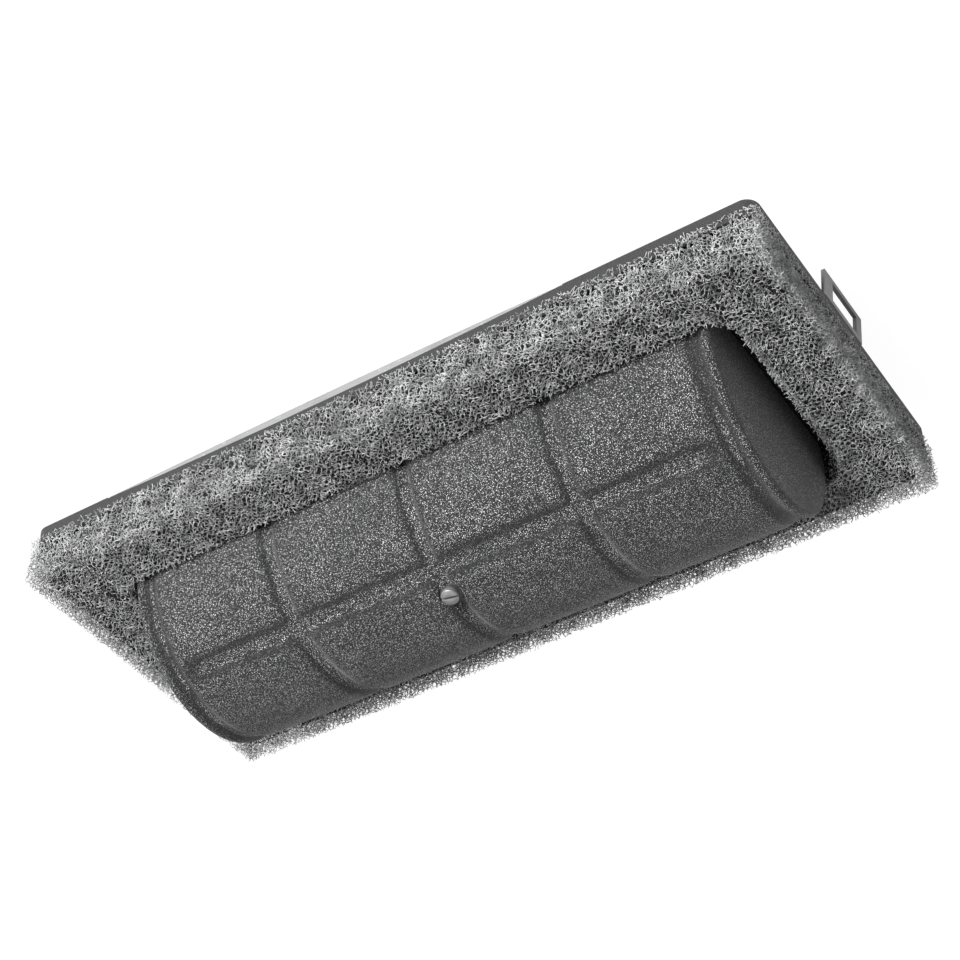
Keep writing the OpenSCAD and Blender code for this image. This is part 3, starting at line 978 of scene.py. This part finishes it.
@dataclass
class FoamSurround:
    """The open-cell foam frame round the dome: a near-black inner body, painted shade of the foam's depths,
    under a shell of struts.

    Args:
        opening_gap_end: The gap between the dome's ends and the foam.
        opening_gap_side: The gap between the dome's sides and the foam.
        opening_shift: How far the opening lies off the housing's middle.
        opening_corner: The radius of the opening's corners.
        outer_edge: The radius of the foam's outer edges.
        overhang: How far the foam spreads past its seat along X and Y, over the rim.
        droop: How far it hangs below the rim's top.
        shell: The depth of the struts on the front, the lit side and the opening's ends.
        thin_shell: The depth of the struts where light shows through the foam's edge.
        end_reach: How far round from the opening's ends their wall has struts all the way down.
        core_shares: How far the core lies under the struts at the sides, the lit side and the top, as shares
            of their depth.
        core_corner: The radius of the core's upright edges.
        core_edge: The rounding of the core's top.
        side_play: How far the core stands back from the opening's sides.
        overcut: How far the opening's cutter passes the core.
        lattice: The struts' pattern.
    """

    opening_gap_end: float = 4.4 * MM
    opening_gap_side: float = 0.7 * MM
    opening_shift: tuple[float, float] = (1.5 * MM, 0.3 * MM)
    opening_corner: float = 7.0 * MM
    outer_edge: float = 1.0 * MM
    overhang: tuple[float, float] = (1.1 * MM, 1.9 * MM)
    droop: float = 2.2 * MM
    shell: float = 2.0 * MM
    thin_shell: float = 3.4 * MM
    end_reach: float = 9 * MM
    core_shares: tuple[float, float, float] = (0.8, 0.7, 0.75)
    core_corner: float = 3 * MM
    core_edge: float = 1.4 * MM
    side_play: float = 0.1 * MM
    overcut: float = 5 * MM
    lattice: FoamLattice = field(default_factory=FoamLattice)

    def __post_init__(self) -> None:
        """Reads the places of the foam, the tray and the dome from the frame."""
        self.seat_low, self.seat_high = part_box("foam_surround")
        rim_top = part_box("element_tray")[1].z
        spread = Vector((*self.overhang, 0.0))
        self.high = self.seat_high + spread
        self.low = self.seat_low - spread
        self.low.z = rim_top - self.droop
        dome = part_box("filter_dome")[1]
        self.centre = np.array(self.opening_shift)
        self.half_opening = np.array([dome.x + self.opening_gap_end, dome.y + self.opening_gap_side])

    def to_outside(self, points: np.ndarray) -> np.ndarray:
        """Measures how far points lie inside the foam's outer surface.

        Args:
            points: The points.

        Returns:
            The distance to each outer surface, inwards positive.
        """
        middle = (np.array(self.low) + np.array(self.high)) / 2
        half = (np.array(self.high) - np.array(self.low)) / 2 - self.outer_edge
        beyond = np.abs(points - middle) - half
        outside = np.linalg.norm(np.maximum(beyond, 0), axis=1)
        return self.outer_edge - outside - np.minimum(beyond.max(1), 0)

    def to_opening(self, points: np.ndarray) -> np.ndarray:
        """Measures how far points lie from the opening's wall.

        Args:
            points: The points.

        Returns:
            The distance to the wall, positive in the foam.
        """
        beyond = np.abs(points[:, :2] - self.centre) - self.half_opening + self.opening_corner
        outside = np.linalg.norm(np.maximum(beyond, 0), axis=1)
        return outside + np.minimum(beyond.max(1), 0) - self.opening_corner

    def depth(self, points: np.ndarray) -> np.ndarray:
        """Measures how far points lie under the foam's surface."""
        return np.minimum(self.to_outside(points), self.to_opening(points))

    def in_shell(self, points: np.ndarray, depth: np.ndarray) -> np.ndarray:
        """Says which points lie in the shell of struts.

        Args:
            points: The points.
            depth: How far each one lies under the surface.

        Returns:
            True for each point that does.
        """
        high, low = np.array(self.high), np.array(self.low)
        near_top = high[2] - points[:, 2] < self.shell
        lit_side = high[1] - points[:, 1] < self.shell
        edges = np.minimum.reduce([points[:, 1] - low[1], points[:, 0] - low[0], high[0] - points[:, 0]])
        wall = self.to_opening(points)
        off_middle = np.abs(points[:, 0] - self.centre[0])
        end_wall = (wall < self.shell) & (off_middle > self.half_opening[0] - self.end_reach)
        side_wall = (wall < self.shell) & (high[2] - points[:, 2] < 2 * self.shell)
        return near_top | lit_side | (edges < self.thin_shell) | end_wall | side_wall

    def build_struts(self) -> Piece:
        """Builds the shell of struts.

        Returns:
            The object.
        """
        starts, stops = self.lattice.struts(self.low, self.high, self.depth, self.in_shell)
        log.info("foam: %d struts", len(starts))
        piece = bpy.data.objects.new("foam_struts", self.lattice.mesh("foam_struts", starts, stops))
        bpy.context.scene.collection.objects.link(piece)
        return piece

    def build_core(self) -> Piece:
        """Builds the dark body inside the struts, whose colour is painted shade of the foam deep under them.

        Returns:
            The object.
        """
        sides, lit_side, top = self.core_shares
        inset_low = Vector((self.thin_shell, self.thin_shell, 0.0)) * sides
        inset_high = Vector((self.thin_shell * sides, self.shell * lit_side, self.shell * top))
        core = new_block("foam_core", self.seat_low + inset_low, self.seat_high - inset_high,
                         self.core_corner)
        edit(core)
        crest = self.seat_high.z - inset_high.z
        pick_edges(core, lambda a, b: a.z > crest - NEAR and b.z > crest - NEAR)
        bpy.ops.mesh.bevel(offset=self.core_edge, segments=3, profile=0.5, affect="EDGES")
        close_edit()
        reach = Vector((*self.half_opening, 0.0)) + Vector((self.shell * sides, self.side_play, 0.0))
        middle = Vector((*self.centre, 0.0))
        low = middle - reach + Vector((0, 0, self.seat_low.z - self.overcut))
        high = middle + reach + Vector((0, 0, self.seat_high.z + self.overcut))
        cut_out(core, new_block("core_cutter", low, high, self.opening_corner + self.shell * 0.5, 8))
        smooth_by_angle(core, 40.0)
        return core

    def dress(self, shop: Workshop) -> None:
        """Builds both pieces, with their finishes.

        Args:
            shop: The shared node groups.
        """
        core = self.build_core()
        # The core's near-black colour is painted shade of the foam deep under the struts
        wear(core, PoreFinish("foam depth", (0.04, 0.0405, 0.041), (0.004, 0.004, 0.004), cells=640.0,
                              width=0.2, relief=0.6 * MM).material(shop))
        place_piece(core, Body.ELEMENT, Slot.FOAM, "foam_surround")
        struts = self.build_struts()
        wear(struts, StrutFinish("foam struts", (0.22, 0.222, 0.225), (0.62, 0.622, 0.625)).material(shop))
        place_piece(struts, Body.ELEMENT, Slot.FOAM)


# The rows of faces on each side of a groove's middle
GROOVE_ROWS = 4


@dataclass(frozen=True)
class Groove:
    """A groove pressed across the dome.

    Args:
        centre: Its place along the dome.
        half_width: Half its width.
        depth: How deep it is pressed.
    """

    centre: float
    half_width: float
    depth: float

    def station(self, step: int) -> float:
        """Gives the place of one of the groove's rows, counted from its middle."""
        return self.centre + step * self.half_width / GROOVE_ROWS


@dataclass
class FilterDome:
    """The flocked skin of the dome, with its pressed grooves and the screw's seat.

    Args:
        wall: The skin's thickness.
        end_edge: The radius of the end edges.
        groove_pitch: The distance between the transverse grooves.
        groove_centre: The place of the middle one.
        groove_depth: How deep the grooves are pressed.
        groove_half_width: Half the width of a groove.
        floor_share: The flat floor's share of a groove's width.
        channel_inset: The distance from the dome's ends to the middle of the channels behind their lips.
        channel_half_width: Half the width of those channels.
        channel_depth: How deep they are pressed.
        ridge_angle: The angle of the lengthwise groove from the crest, in degrees.
        ridge_rows: How many rows of faces lie on each side of the lengthwise groove's middle.
        ridge_end_gap: The plain length past the lengthwise groove's ends.
        seat_depth: How far the screw's seat lies under the plain surface.
        seat_radius: The radius of the screw's seat.
        hole_radius: The radius of the screw's hole.
        sides: The number of faces round a full turn.
        column: The distance between cuts along the dome.
        wander_size: The size of the skin's slow waves.
        wander: How far they swing.
        wall_shade: How strongly painted shade darkens the flock on the grooves' walls.
        floor_shade: How strongly painted shade darkens it on their floors.
    """

    wall: float = 2.4 * MM
    end_edge: float = 1.3 * MM
    groove_pitch: float = 44.5 * MM
    groove_centre: float = -1.5 * MM
    groove_depth: float = 1.7 * MM
    groove_half_width: float = 3.2 * MM
    floor_share: float = 0.25
    channel_inset: float = 4.6 * MM
    channel_half_width: float = 3.0 * MM
    channel_depth: float = 1.2 * MM
    ridge_angle: float = 30.0
    ridge_rows: int = 3
    ridge_end_gap: float = 9.0 * MM
    seat_depth: float = 1.2 * MM
    seat_radius: float = 3.5 * MM
    hole_radius: float = 1.9 * MM
    sides: int = 144
    column: float = 4.5 * MM
    wander_size: float = 0.018
    wander: float = 0.35 * MM
    wall_shade: float = 3.2
    floor_shade: float = 0.35

    def __post_init__(self) -> None:
        """Reads the dome's place from the frame."""
        low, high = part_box("filter_dome")
        self.half = high.x
        self.radius = high.y
        self.base = low.z
        self.axis_z = high.z - high.y

    def angle_of(self, place: Vector) -> float:
        """Gives a place's angle from the crest, in degrees."""
        return math.degrees(math.atan2(place.y, place.z - self.axis_z))

    def radius_of(self, place: Vector) -> float:
        """Gives a place's distance from the vault's axis."""
        return math.hypot(place.y, place.z - self.axis_z)

    def reach_of(self, place: Vector) -> float:
        """Gives a place's distance from the vault's axis, or below it from the middle plane."""
        return self.radius_of(place) if place.z > self.axis_z else abs(place.y)

    def profile(self, share: float) -> float:
        """Gives a groove's depth across it: a flat floor between smooth steep walls.

        Args:
            share: The distance from the groove's middle, as a share of its half width.

        Returns:
            The depth there, as a share of the whole depth.
        """
        climb = min(max((abs(share) - self.floor_share) / (1 - self.floor_share), 0.0), 1.0)
        return 1 - climb * climb * (3 - 2 * climb)

    def on_outside(self, place: Vector) -> bool:
        """Says whether a place is on the skin's outer side and not on its inner one."""
        return self.reach_of(place) > self.radius - 0.5 * self.wall

    def shell(self) -> Piece:
        """Builds the plain vault: a half cylinder on straight sides with round end edges.

        Returns:
            The open shell.
        """
        deselect_all()
        bpy.ops.mesh.primitive_cylinder_add(vertices=self.sides, radius=self.radius, depth=2 * self.half,
                                            location=(0, 0, self.axis_z), rotation=(0, math.pi / 2, 0))
        skin = settle(bpy.context.active_object, "filter_dome_skin")
        edit(skin)
        slice_mesh((0, 0, self.axis_z), (0, 0, 1), clear_below=True)
        pick_edges(skin, lambda a, b: max(a.z, b.z) < self.axis_z + NEAR)
        drop = (0, 0, self.base - self.axis_z)
        bpy.ops.mesh.extrude_region_move(TRANSFORM_OT_translate={"value": drop})
        pick_edges(skin, self.on_end_rim)
        bpy.ops.mesh.bevel(offset=self.end_edge, segments=5, profile=0.5, affect="EDGES")
        close_edit()
        return skin

    def on_end_rim(self, a: Vector, b: Vector) -> bool:
        """Says whether an edge lies on the rim of one of the dome's ends."""
        at_end = min(abs(a.x), abs(b.x)) > self.half - NEAR and a.x * b.x > 0
        on_vault = min(self.radius_of(a), self.radius_of(b)) > self.radius - NEAR
        curved = on_vault and max(a.z, b.z) > self.axis_z
        straight = min(abs(a.y), abs(b.y)) > self.radius - NEAR and a.y * b.y > 0
        return at_end and (curved or straight)

    def cut_columns(self, skin: Piece) -> None:
        """Cuts the skin crosswise into columns, closer together at the grooves."""
        edit(skin)
        places = list(np.arange(-self.half + 2 * self.end_edge, self.half - 2 * self.end_edge, self.column))
        for groove in self.grooves():
            places = [x for x in places if abs(x - groove.centre) > 1.3 * groove.half_width]
            places += [groove.station(step) for step in range(-GROOVE_ROWS, GROOVE_ROWS + 1)]
        for x in places:
            slice_mesh((x, 0, 0), (1, 0, 0))
        close_edit()

    def grooves(self) -> list[Groove]:
        """Lists the grooves over the hoops, and the channels behind the lips of the ends."""
        middles = [self.groove_centre + k * self.groove_pitch for k in (-1, 0, 1)]
        pressed = [Groove(middle, self.groove_half_width, self.groove_depth) for middle in middles]
        for side in (-1, 1):
            at = side * (self.half - self.channel_inset)
            pressed.append(Groove(at, self.channel_half_width, self.channel_depth))
        return pressed

    def ridge_row_angle(self, row: int) -> float:
        """Gives the angle of one of the lengthwise groove's rows, counted from its middle."""
        return self.ridge_angle + row * 360 / self.sides

    def press_grooves(self, skin: Piece) -> None:
        """Presses the transverse grooves and then the lengthwise one, which never deepens a crossing."""
        edit(skin)
        for groove in self.grooves():
            for step in range(1 - GROOVE_ROWS, GROOVE_ROWS):
                x = groove.station(step)
                shrink = 1 - groove.depth * self.profile(step / GROOVE_ROWS) / self.radius
                pick_vertices(skin, lambda co: abs(co.x - x) < NEAR and self.on_outside(co))
                bpy.ops.transform.resize(value=(1, shrink, shrink), center_override=(x, 0, self.axis_z))
        pick_vertices(skin, lambda co: co.z < self.base + 0.6 * MM)
        bpy.ops.transform.resize(value=(1, 1, 0), center_override=(0, 0, self.base))
        shares = [self.profile(step / GROOVE_ROWS) for step in range(GROOVE_ROWS + 1)]
        levels = sorted({round(self.groove_depth * share, 7) for share in shares})
        reach = self.half - self.ridge_end_gap
        for row in range(1 - self.ridge_rows, self.ridge_rows):
            angle = self.ridge_row_angle(row)
            depth = self.groove_depth * self.profile(row / self.ridge_rows)
            for level in levels:
                if level > depth - NEAR:
                    continue
                at = self.radius - level
                pick_vertices(skin, lambda co: abs(self.angle_of(co) - angle) < 0.1 and abs(co.x) < reach
                              and abs(self.radius_of(co) - at) < 2 * NEAR)
                bpy.ops.transform.translate(value=lean(angle) * (level - depth))
        close_edit()

    def soften(self, skin: Piece) -> None:
        """Smooths the skin and lets it wander a little, as pressed flock does."""
        apply_modifier(skin, "SUBSURF", levels=1, render_levels=1)
        clouds = bpy.data.textures.new("skin wander", "CLOUDS")
        clouds.noise_scale = self.wander_size
        apply_modifier(skin, "DISPLACE", texture=clouds, strength=self.wander, mid_level=0.5,
                       texture_coords="LOCAL")

    def paint_groove_shade(self, skin: Piece) -> None:
        """Stores painted shade in the grooves: most on their walls, and some on their floors."""
        marks = skin.data.attributes.new(PAINTED_GROOVE_SHADE, "FLOAT", "POINT")
        for mark, vertex in zip(marks.data, skin.data.vertices):
            sunk = min(max((self.radius - self.reach_of(vertex.co)) / self.groove_depth, 0.0), 1.0)
            # Painted shade: darkest on the grooves' walls, less on their floors, none on the plain skin or
            # its inner side
            depth = self.wall_shade * sunk * (1 - sunk) + self.floor_shade * sunk
            mark.value = depth if self.on_outside(vertex.co) else 0.0

    def seat_screw(self, skin: Piece) -> None:
        """Cuts the screw's seat and hole into the skin."""
        axis = lean(SCREW_ANGLE)
        centre = Vector((self.groove_centre, 0.0, self.axis_z))
        seat_foot = centre + axis * (self.radius - self.seat_depth)
        cut_out(skin, new_cylinder("seat_cutter", self.seat_radius, 4 * MM, seat_foot, axis, 48))
        hole_foot = centre + axis * (self.radius - 3 * self.wall)
        cut_out(skin, new_cylinder("hole_cutter", self.hole_radius, 4 * self.wall, hole_foot, axis, 32))

    def dress(self, shop: Workshop) -> None:
        """Builds the dome's skin with its finish.

        Args:
            shop: The shared node groups.
        """
        skin = self.shell()
        self.cut_columns(skin)
        apply_modifier(skin, "SOLIDIFY", thickness=self.wall, offset=-1.0, use_even_offset=False)
        self.press_grooves(skin)
        self.soften(skin)
        # Darkens the grooves with painted shade
        self.paint_groove_shade(skin)
        self.seat_screw(skin)
        smooth_by_angle(skin, 50.0)
        wear(skin, FlockFinish("flocked mesh", (0.008, 0.0082, 0.0084), (0.74, 0.742, 0.745), cover=0.64,
                               softness=0.03).material(shop))
        place_piece(skin, Body.ELEMENT, Slot.MESH, "filter_dome")


@dataclass
class ElementTray:
    """The flocked tray that carries the foam and the dome, with the seal under it.

    Args:
        tray_edge: The rounding of the tray's edges.
        seal_edge: The rounding of the seal's edges.
    """

    tray_edge: float = 0.45 * MM
    seal_edge: float = 0.5 * MM

    def dress(self, shop: Workshop) -> None:
        """Builds the tray and its seal.

        Args:
            shop: The shared node groups.
        """
        flock = FlockFinish("flocked tray", (0.009, 0.0092, 0.0094), (0.05, 0.0505, 0.051)).material(shop)
        refined_copy("element_tray", self.tray_edge, flock, Body.ELEMENT, Slot.TRAY, segments=3)
        sponge = PoreFinish("seal sponge", (0.035, 0.035, 0.036), (0.012, 0.012, 0.012), cells=1400.0,
                            width=0.3, relief=0.1 * MM).material(shop)
        refined_copy("tray_seal", self.seal_edge, sponge, Body.ELEMENT, Slot.SEAL, segments=3)


@dataclass
class SupportFrame:
    """The gauze and the riveted strap frame inside the dome.

    Args:
        strap_edge: The rounding of the straps' and the boss's edges.
        rivet_edge: The rounding of the rivets' edges.
    """

    strap_edge: float = 0.15 * MM
    rivet_edge: float = 0.3 * MM

    def dress(self, shop: Workshop, fastener: Material) -> None:
        """Builds the gauze, the straps, their rivets and the screw's boss.

        Args:
            shop: The shared node groups.
            fastener: The rivets' material.
        """
        gauze = WeaveFinish("woven gauze", (0.42, 0.43, 0.44), (0.03, 0.03, 0.032)).material(shop)
        wear(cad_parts["inner_gauze"], gauze)
        strap = MetalFinish("strap steel", (0.46, 0.47, 0.48), (0.2, 0.2, 0.205)).material(shop)
        for node in ("centre_hoop", "side_hoops", "lengthwise_stringer", "base_frame"):
            refined_copy(node, self.strap_edge, strap, Body.ELEMENT, Slot.FRAME)
        for node in ("stringer_rivets", "frame_rivets"):
            refined_copy(node, self.rivet_edge, fastener, Body.ELEMENT, Slot.FASTENER, segments=3)
        brass = MetalFinish("turned brass", (0.62, 0.5, 0.28), (0.3, 0.22, 0.12), metallic=1.0,
                            smooth=0.2, rough=0.4).material(shop)
        refined_copy("screw_boss", self.strap_edge, brass, Body.ELEMENT, Slot.BRASS)


@dataclass
class DomeScrew:
    """The slotted screw that holds the dome on its frame, with its washer.

    Args:
        head_radius: The radius of the head.
        head_height: The height of the head.
        crown: How far the head's middle stands above its edge.
        crown_rings: Each ring of the crown: its size as a share of the last one's, and its share of the rise.
        shank_radius: The radius of the shank.
        slot_width: The width of the driver's slot.
        slot_depth: The depth of the driver's slot.
        slot_turn: The slot's angle from the dome's length, in degrees.
    """

    head_radius: float = 2.45 * MM
    head_height: float = 1.8 * MM
    crown: float = 0.3 * MM
    crown_rings: tuple[tuple[float, float], ...] = ((0.9, 0.55), (0.6, 0.35), (0.25, 0.1))
    shank_radius: float = 1.5 * MM
    slot_width: float = 0.7 * MM
    slot_depth: float = 0.9 * MM
    slot_turn: float = -12.0

    def __post_init__(self) -> None:
        """Works out the screw's axis and ends from the frame."""
        self.axis = lean(SCREW_ANGLE)
        corners = [vertex.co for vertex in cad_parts["dome_screw"].data.vertices]
        along = [corner.dot(self.axis) for corner in corners]
        middle = sum(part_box("dome_screw"), Vector()) / 2
        self.foot = middle + self.axis * (min(along) - middle.dot(self.axis))
        self.length = max(along) - min(along)
        self.foot.x = middle.x

    def build(self) -> Piece:
        """Builds the screw: a stepped blank with a domed head, slotted across.

        Returns:
            The object.
        """
        shank = self.length - self.head_height
        screw = new_cylinder("slotted_screw", self.shank_radius, shank, self.foot, self.axis, 40)
        edit(screw)
        top = self.foot + self.axis * shank
        pick_vertices(screw, lambda co: (co - top).dot(self.axis) > -NEAR)
        rings = [(self.head_radius / self.shank_radius, 0.0), (1.0, self.head_height - self.crown)]
        rings += [(factor, self.crown * share) for factor, share in self.crown_rings]
        for factor, rise in rings:
            self.grow(factor, rise)
        close_edit()
        cut_out(screw, self.slot_cutter(top + self.axis * (self.head_height - self.slot_depth)))
        apply_modifier(screw, "BEVEL", width=0.08 * MM, segments=2, limit_method="ANGLE",
                       angle_limit=math.radians(50))
        smooth_by_angle(screw, 35.0)
        return screw

    def grow(self, factor: float, rise: float) -> None:
        """Extrudes the selected end face along the axis and resizes it.

        Args:
            factor: The new ring's size as a share of the last one.
            rise: How far the face moves along the axis.
        """
        bpy.ops.mesh.extrude_region_move(TRANSFORM_OT_translate={"value": self.axis * rise})
        mesh = bmesh.from_edit_mesh(bpy.context.edit_object.data)
        chosen = [vertex.co for vertex in mesh.verts if vertex.select]
        middle = sum(chosen, Vector()) / len(chosen)
        bpy.ops.transform.resize(value=(factor,) * 3, center_override=middle)

    def slot_cutter(self, foot: Vector) -> Piece:
        """Builds the slot's cutter.

        Args:
            foot: The middle of the slot's floor.

        Returns:
            The object.
        """
        deselect_all()
        bpy.ops.mesh.primitive_cube_add(size=1.0)
        cutter = bpy.context.active_object
        cutter.scale = (4 * self.head_radius, self.slot_width, 2 * self.slot_depth)
        tilt = Matrix.Rotation(-math.radians(SCREW_ANGLE), 4, "X")
        turn = Matrix.Rotation(math.radians(self.slot_turn), 4, "Z")
        cutter.rotation_euler = (tilt @ turn).to_euler()
        cutter.location = foot + self.axis * self.slot_depth
        return settle(cutter, "slot_cutter")

    def dress(self, shop: Workshop, fastener: Material) -> None:
        """Builds the screw and its washer.

        Args:
            shop: The shared node groups.
            fastener: The screw's material.
        """
        screw = self.build()
        wear(screw, fastener)
        place_piece(screw, Body.SCREW, Slot.FASTENER, "dome_screw")
        blackened = MetalFinish("blackened washer", (0.07, 0.07, 0.071), (0.025, 0.025, 0.025),
                                metallic=0.5).material(shop)
        refined_copy("screw_washer", 0.12 * MM, blackened, Body.SCREW_LIFTER, Slot.FASTENER)


# The base


@dataclass
class BasePan:
    """The sheet-metal pan with its catch loops and their rivets.

    Args:
        pan_edge: The rounding of the pan's edges.
        loop_edge: The rounding of the loops' edges.
        rivet_edge: The rounding of the rivets' edges.
    """

    pan_edge: float = 0.3 * MM
    loop_edge: float = 0.18 * MM
    rivet_edge: float = 0.35 * MM

    def dress(self, sheet: Material, fastener: Material) -> None:
        """Builds the pan, the loops and the rivets.

        Args:
            sheet: The sheet metal.
            fastener: The rivets' material.
        """
        refined_copy("base_pan", self.pan_edge, sheet, Body.BASE, Slot.SHEET)
        for node in ("catch_loop_right", "catch_loop_left"):
            refined_copy(node, self.loop_edge, sheet, Body.BASE, Slot.SHEET)
        refined_copy("loop_rivets", self.rivet_edge, fastener, Body.BASE, Slot.FASTENER, segments=3)


@dataclass
class Outlet:
    """The outlet box under the pan: gasket, bellmouth, bushes and rivets.

    Args:
        box_edge: The rounding of the box's edges.
        thin_edge: The rounding of the bellmouth's and the gasket's edges.
        bush_edge: The rounding of the bushes' edges.
        rivet_edge: The rounding of the rivets' edges.
    """

    box_edge: float = 0.4 * MM
    thin_edge: float = 0.2 * MM
    bush_edge: float = 0.3 * MM
    rivet_edge: float = 0.35 * MM

    def dress(self, shop: Workshop, sheet: Material, fastener: Material) -> None:
        """Builds the outlet's pieces.

        Args:
            shop: The shared node groups.
            sheet: The sheet metal.
            fastener: The material of the bushes and rivets.
        """
        refined_copy("outlet_box", self.box_edge, sheet, Body.BASE, Slot.SHEET, segments=3)
        refined_copy("outlet_bellmouth", self.thin_edge, sheet, Body.BASE, Slot.SHEET)
        refined_copy("mounting_bushes", self.bush_edge, fastener, Body.BASE, Slot.FASTENER)
        refined_copy("box_rivets", self.rivet_edge, fastener, Body.BASE, Slot.FASTENER, segments=3)
        fibre = FlockFinish("gasket fibre", (0.05, 0.048, 0.045), (0.13, 0.125, 0.115), scale=1500.0,
                            cover=0.58, softness=0.15, relief=0.04 * MM).material(shop)
        refined_copy("outlet_gasket", self.thin_edge, fibre, Body.BASE, Slot.GASKET)


# The studio


@dataclass
class SoftLight:
    """A square studio lamp.

    Args:
        name: The lamp's name.
        towards: The direction from the housing to the lamp.
        distance: How far away it stands.
        side: The length of its side.
        power: Its power in watts.
    """

    name: str
    towards: Vector
    distance: float
    side: float
    power: float

    def place(self, target: Vector) -> None:
        """Adds the lamp, aimed at a point.

        Args:
            target: The point it is aimed at.
        """
        data = bpy.data.lights.new(self.name, "AREA")
        data.shape = "SQUARE"
        data.size = self.side
        data.energy = self.power
        lamp = bpy.data.objects.new(self.name, data)
        direction = self.towards.normalized()
        lamp.location = target + direction * self.distance
        lamp.rotation_euler = direction.to_track_quat("Z", "Y").to_euler()
        bpy.context.scene.collection.objects.link(lamp)


@dataclass
class Studio:
    """The floor, the lamps and the camera.

    Args:
        target: The point that the camera looks at.
        azimuth: The camera's compass angle, from +X towards +Y, in degrees.
        elevation: The camera's height angle, in degrees.
        distance: The camera's distance from the target.
        roll: How far the camera is turned about its own axis, in degrees.
        lens: The lens's focal length in millimetres on a 36 mm sensor.
        world_light: The strength of the light from all round.
        floor_glow: How much of the floor's tone is its own white.
        seen_white: The strength of the white that the camera sees.
        floor_side: The length of the floor's side.
        floor_drop: How far the floor lies under the housing.
    """

    target: Vector = field(default_factory=lambda: Vector((0.01404, 0.01878, 0.0314)))
    azimuth: float = 58.45
    elevation: float = 41.90
    distance: float = 0.6046
    roll: float = 178.647
    lens: float = 84.956
    world_light: float = 0.37
    floor_glow: float = 0.86
    seen_white: float = 1.1
    floor_side: float = 12.0
    floor_drop: float = 0.0005

    def build_camera(self) -> None:
        """Adds the camera."""
        turn, rise = math.radians(self.azimuth), math.radians(self.elevation)
        back = Vector((math.cos(rise) * math.cos(turn), math.cos(rise) * math.sin(turn), math.sin(rise)))
        data = bpy.data.cameras.new("camera")
        data.lens = self.lens
        data.clip_start = 0.01
        camera = bpy.data.objects.new("camera", data)
        look = back.to_track_quat("Z", "Y").to_matrix().to_4x4()
        place = Matrix.Translation(self.target + back * self.distance)
        camera.matrix_world = place @ look @ Matrix.Rotation(math.radians(self.roll), 4, "Z")
        bpy.context.scene.collection.objects.link(camera)
        bpy.context.scene.camera = camera

    def build_floor(self) -> None:
        """Adds the pale floor, which glows a little so that shadows on it stay faint."""
        deselect_all()
        bpy.ops.mesh.primitive_plane_add(size=self.floor_side, location=(0, 0, -self.floor_drop))
        floor = settle(bpy.context.active_object, "floor")
        material, graph, shader = start_material("pale floor", Base_Color=(0.9, 0.9, 0.9), Roughness=0.9)
        glow = graph.node("ShaderNodeEmission", Strength=self.seen_white)
        seen = graph.node("ShaderNodeLightPath").outputs["Is Camera Ray"]
        mix = graph.node("ShaderNodeMixShader")
        graph.link(graph.math("MULTIPLY", seen, self.floor_glow), mix.inputs[0])
        graph.link(shader.outputs[0], mix.inputs[1])
        graph.link(glow.outputs[0], mix.inputs[2])
        output = material.node_tree.nodes["Material Output"]
        graph.link(mix.outputs[0], output.inputs["Surface"])
        wear(floor, material)

    def build_world(self) -> None:
        """Sets a plain white surround, which lights the housing more weakly than it looks."""
        world = bpy.data.worlds.new("studio")
        world.use_nodes = True
        bpy.context.scene.world = world
        graph = Graph(world.node_tree)
        background = world.node_tree.nodes["Background"]
        background.inputs["Color"].default_value = WHITE
        seen = graph.node("ShaderNodeLightPath").outputs["Is Camera Ray"]
        strength = graph.mapped(seen, 0.0, 1.0, self.world_light, self.seen_white)
        graph.link(strength, background.inputs["Strength"])

    def build(self) -> None:
        """Builds the studio."""
        self.build_camera()
        self.build_floor()
        self.build_world()
        lamps = [
            SoftLight("key", Vector((-0.08, 0.95, 0.26)), 1.5, 0.35, 42.0),
            SoftLight("fill", Vector((-0.3, 0.2, 1.0)), 1.6, 1.2, 5.0),
            SoftLight("back", Vector((0.3, -0.95, 0.12)), 1.6, 1.0, 10.0),
        ]
        for lamp in lamps:
            lamp.place(self.target)
        bpy.context.scene.view_settings.view_transform = "Standard"


def main() -> None:
    """Builds the housing and the studio."""
    logging.basicConfig(level=logging.INFO, format="%(name)s: %(message)s")
    Studio().build()
    shop = Workshop()
    sheet = MetalFinish("zinc sheet", (0.29, 0.293, 0.29), (0.16, 0.162, 0.162), metallic=0.35, grain=0.25,
                        smooth=0.38, rough=0.6).material(shop)
    fastener = MetalFinish("zinc fastener", (0.32, 0.32, 0.326), (0.15, 0.15, 0.153), metallic=0.7,
                           grain=0.2).material(shop)
    Outlet().dress(shop, sheet, fastener)
    BasePan().dress(sheet, fastener)
    ElementTray().dress(shop)
    SupportFrame().dress(shop, fastener)
    DomeScrew().dress(shop, fastener)
    FilterDome().dress(shop)
    FoamSurround().dress(shop)


if __name__ == "__main__":
    main()
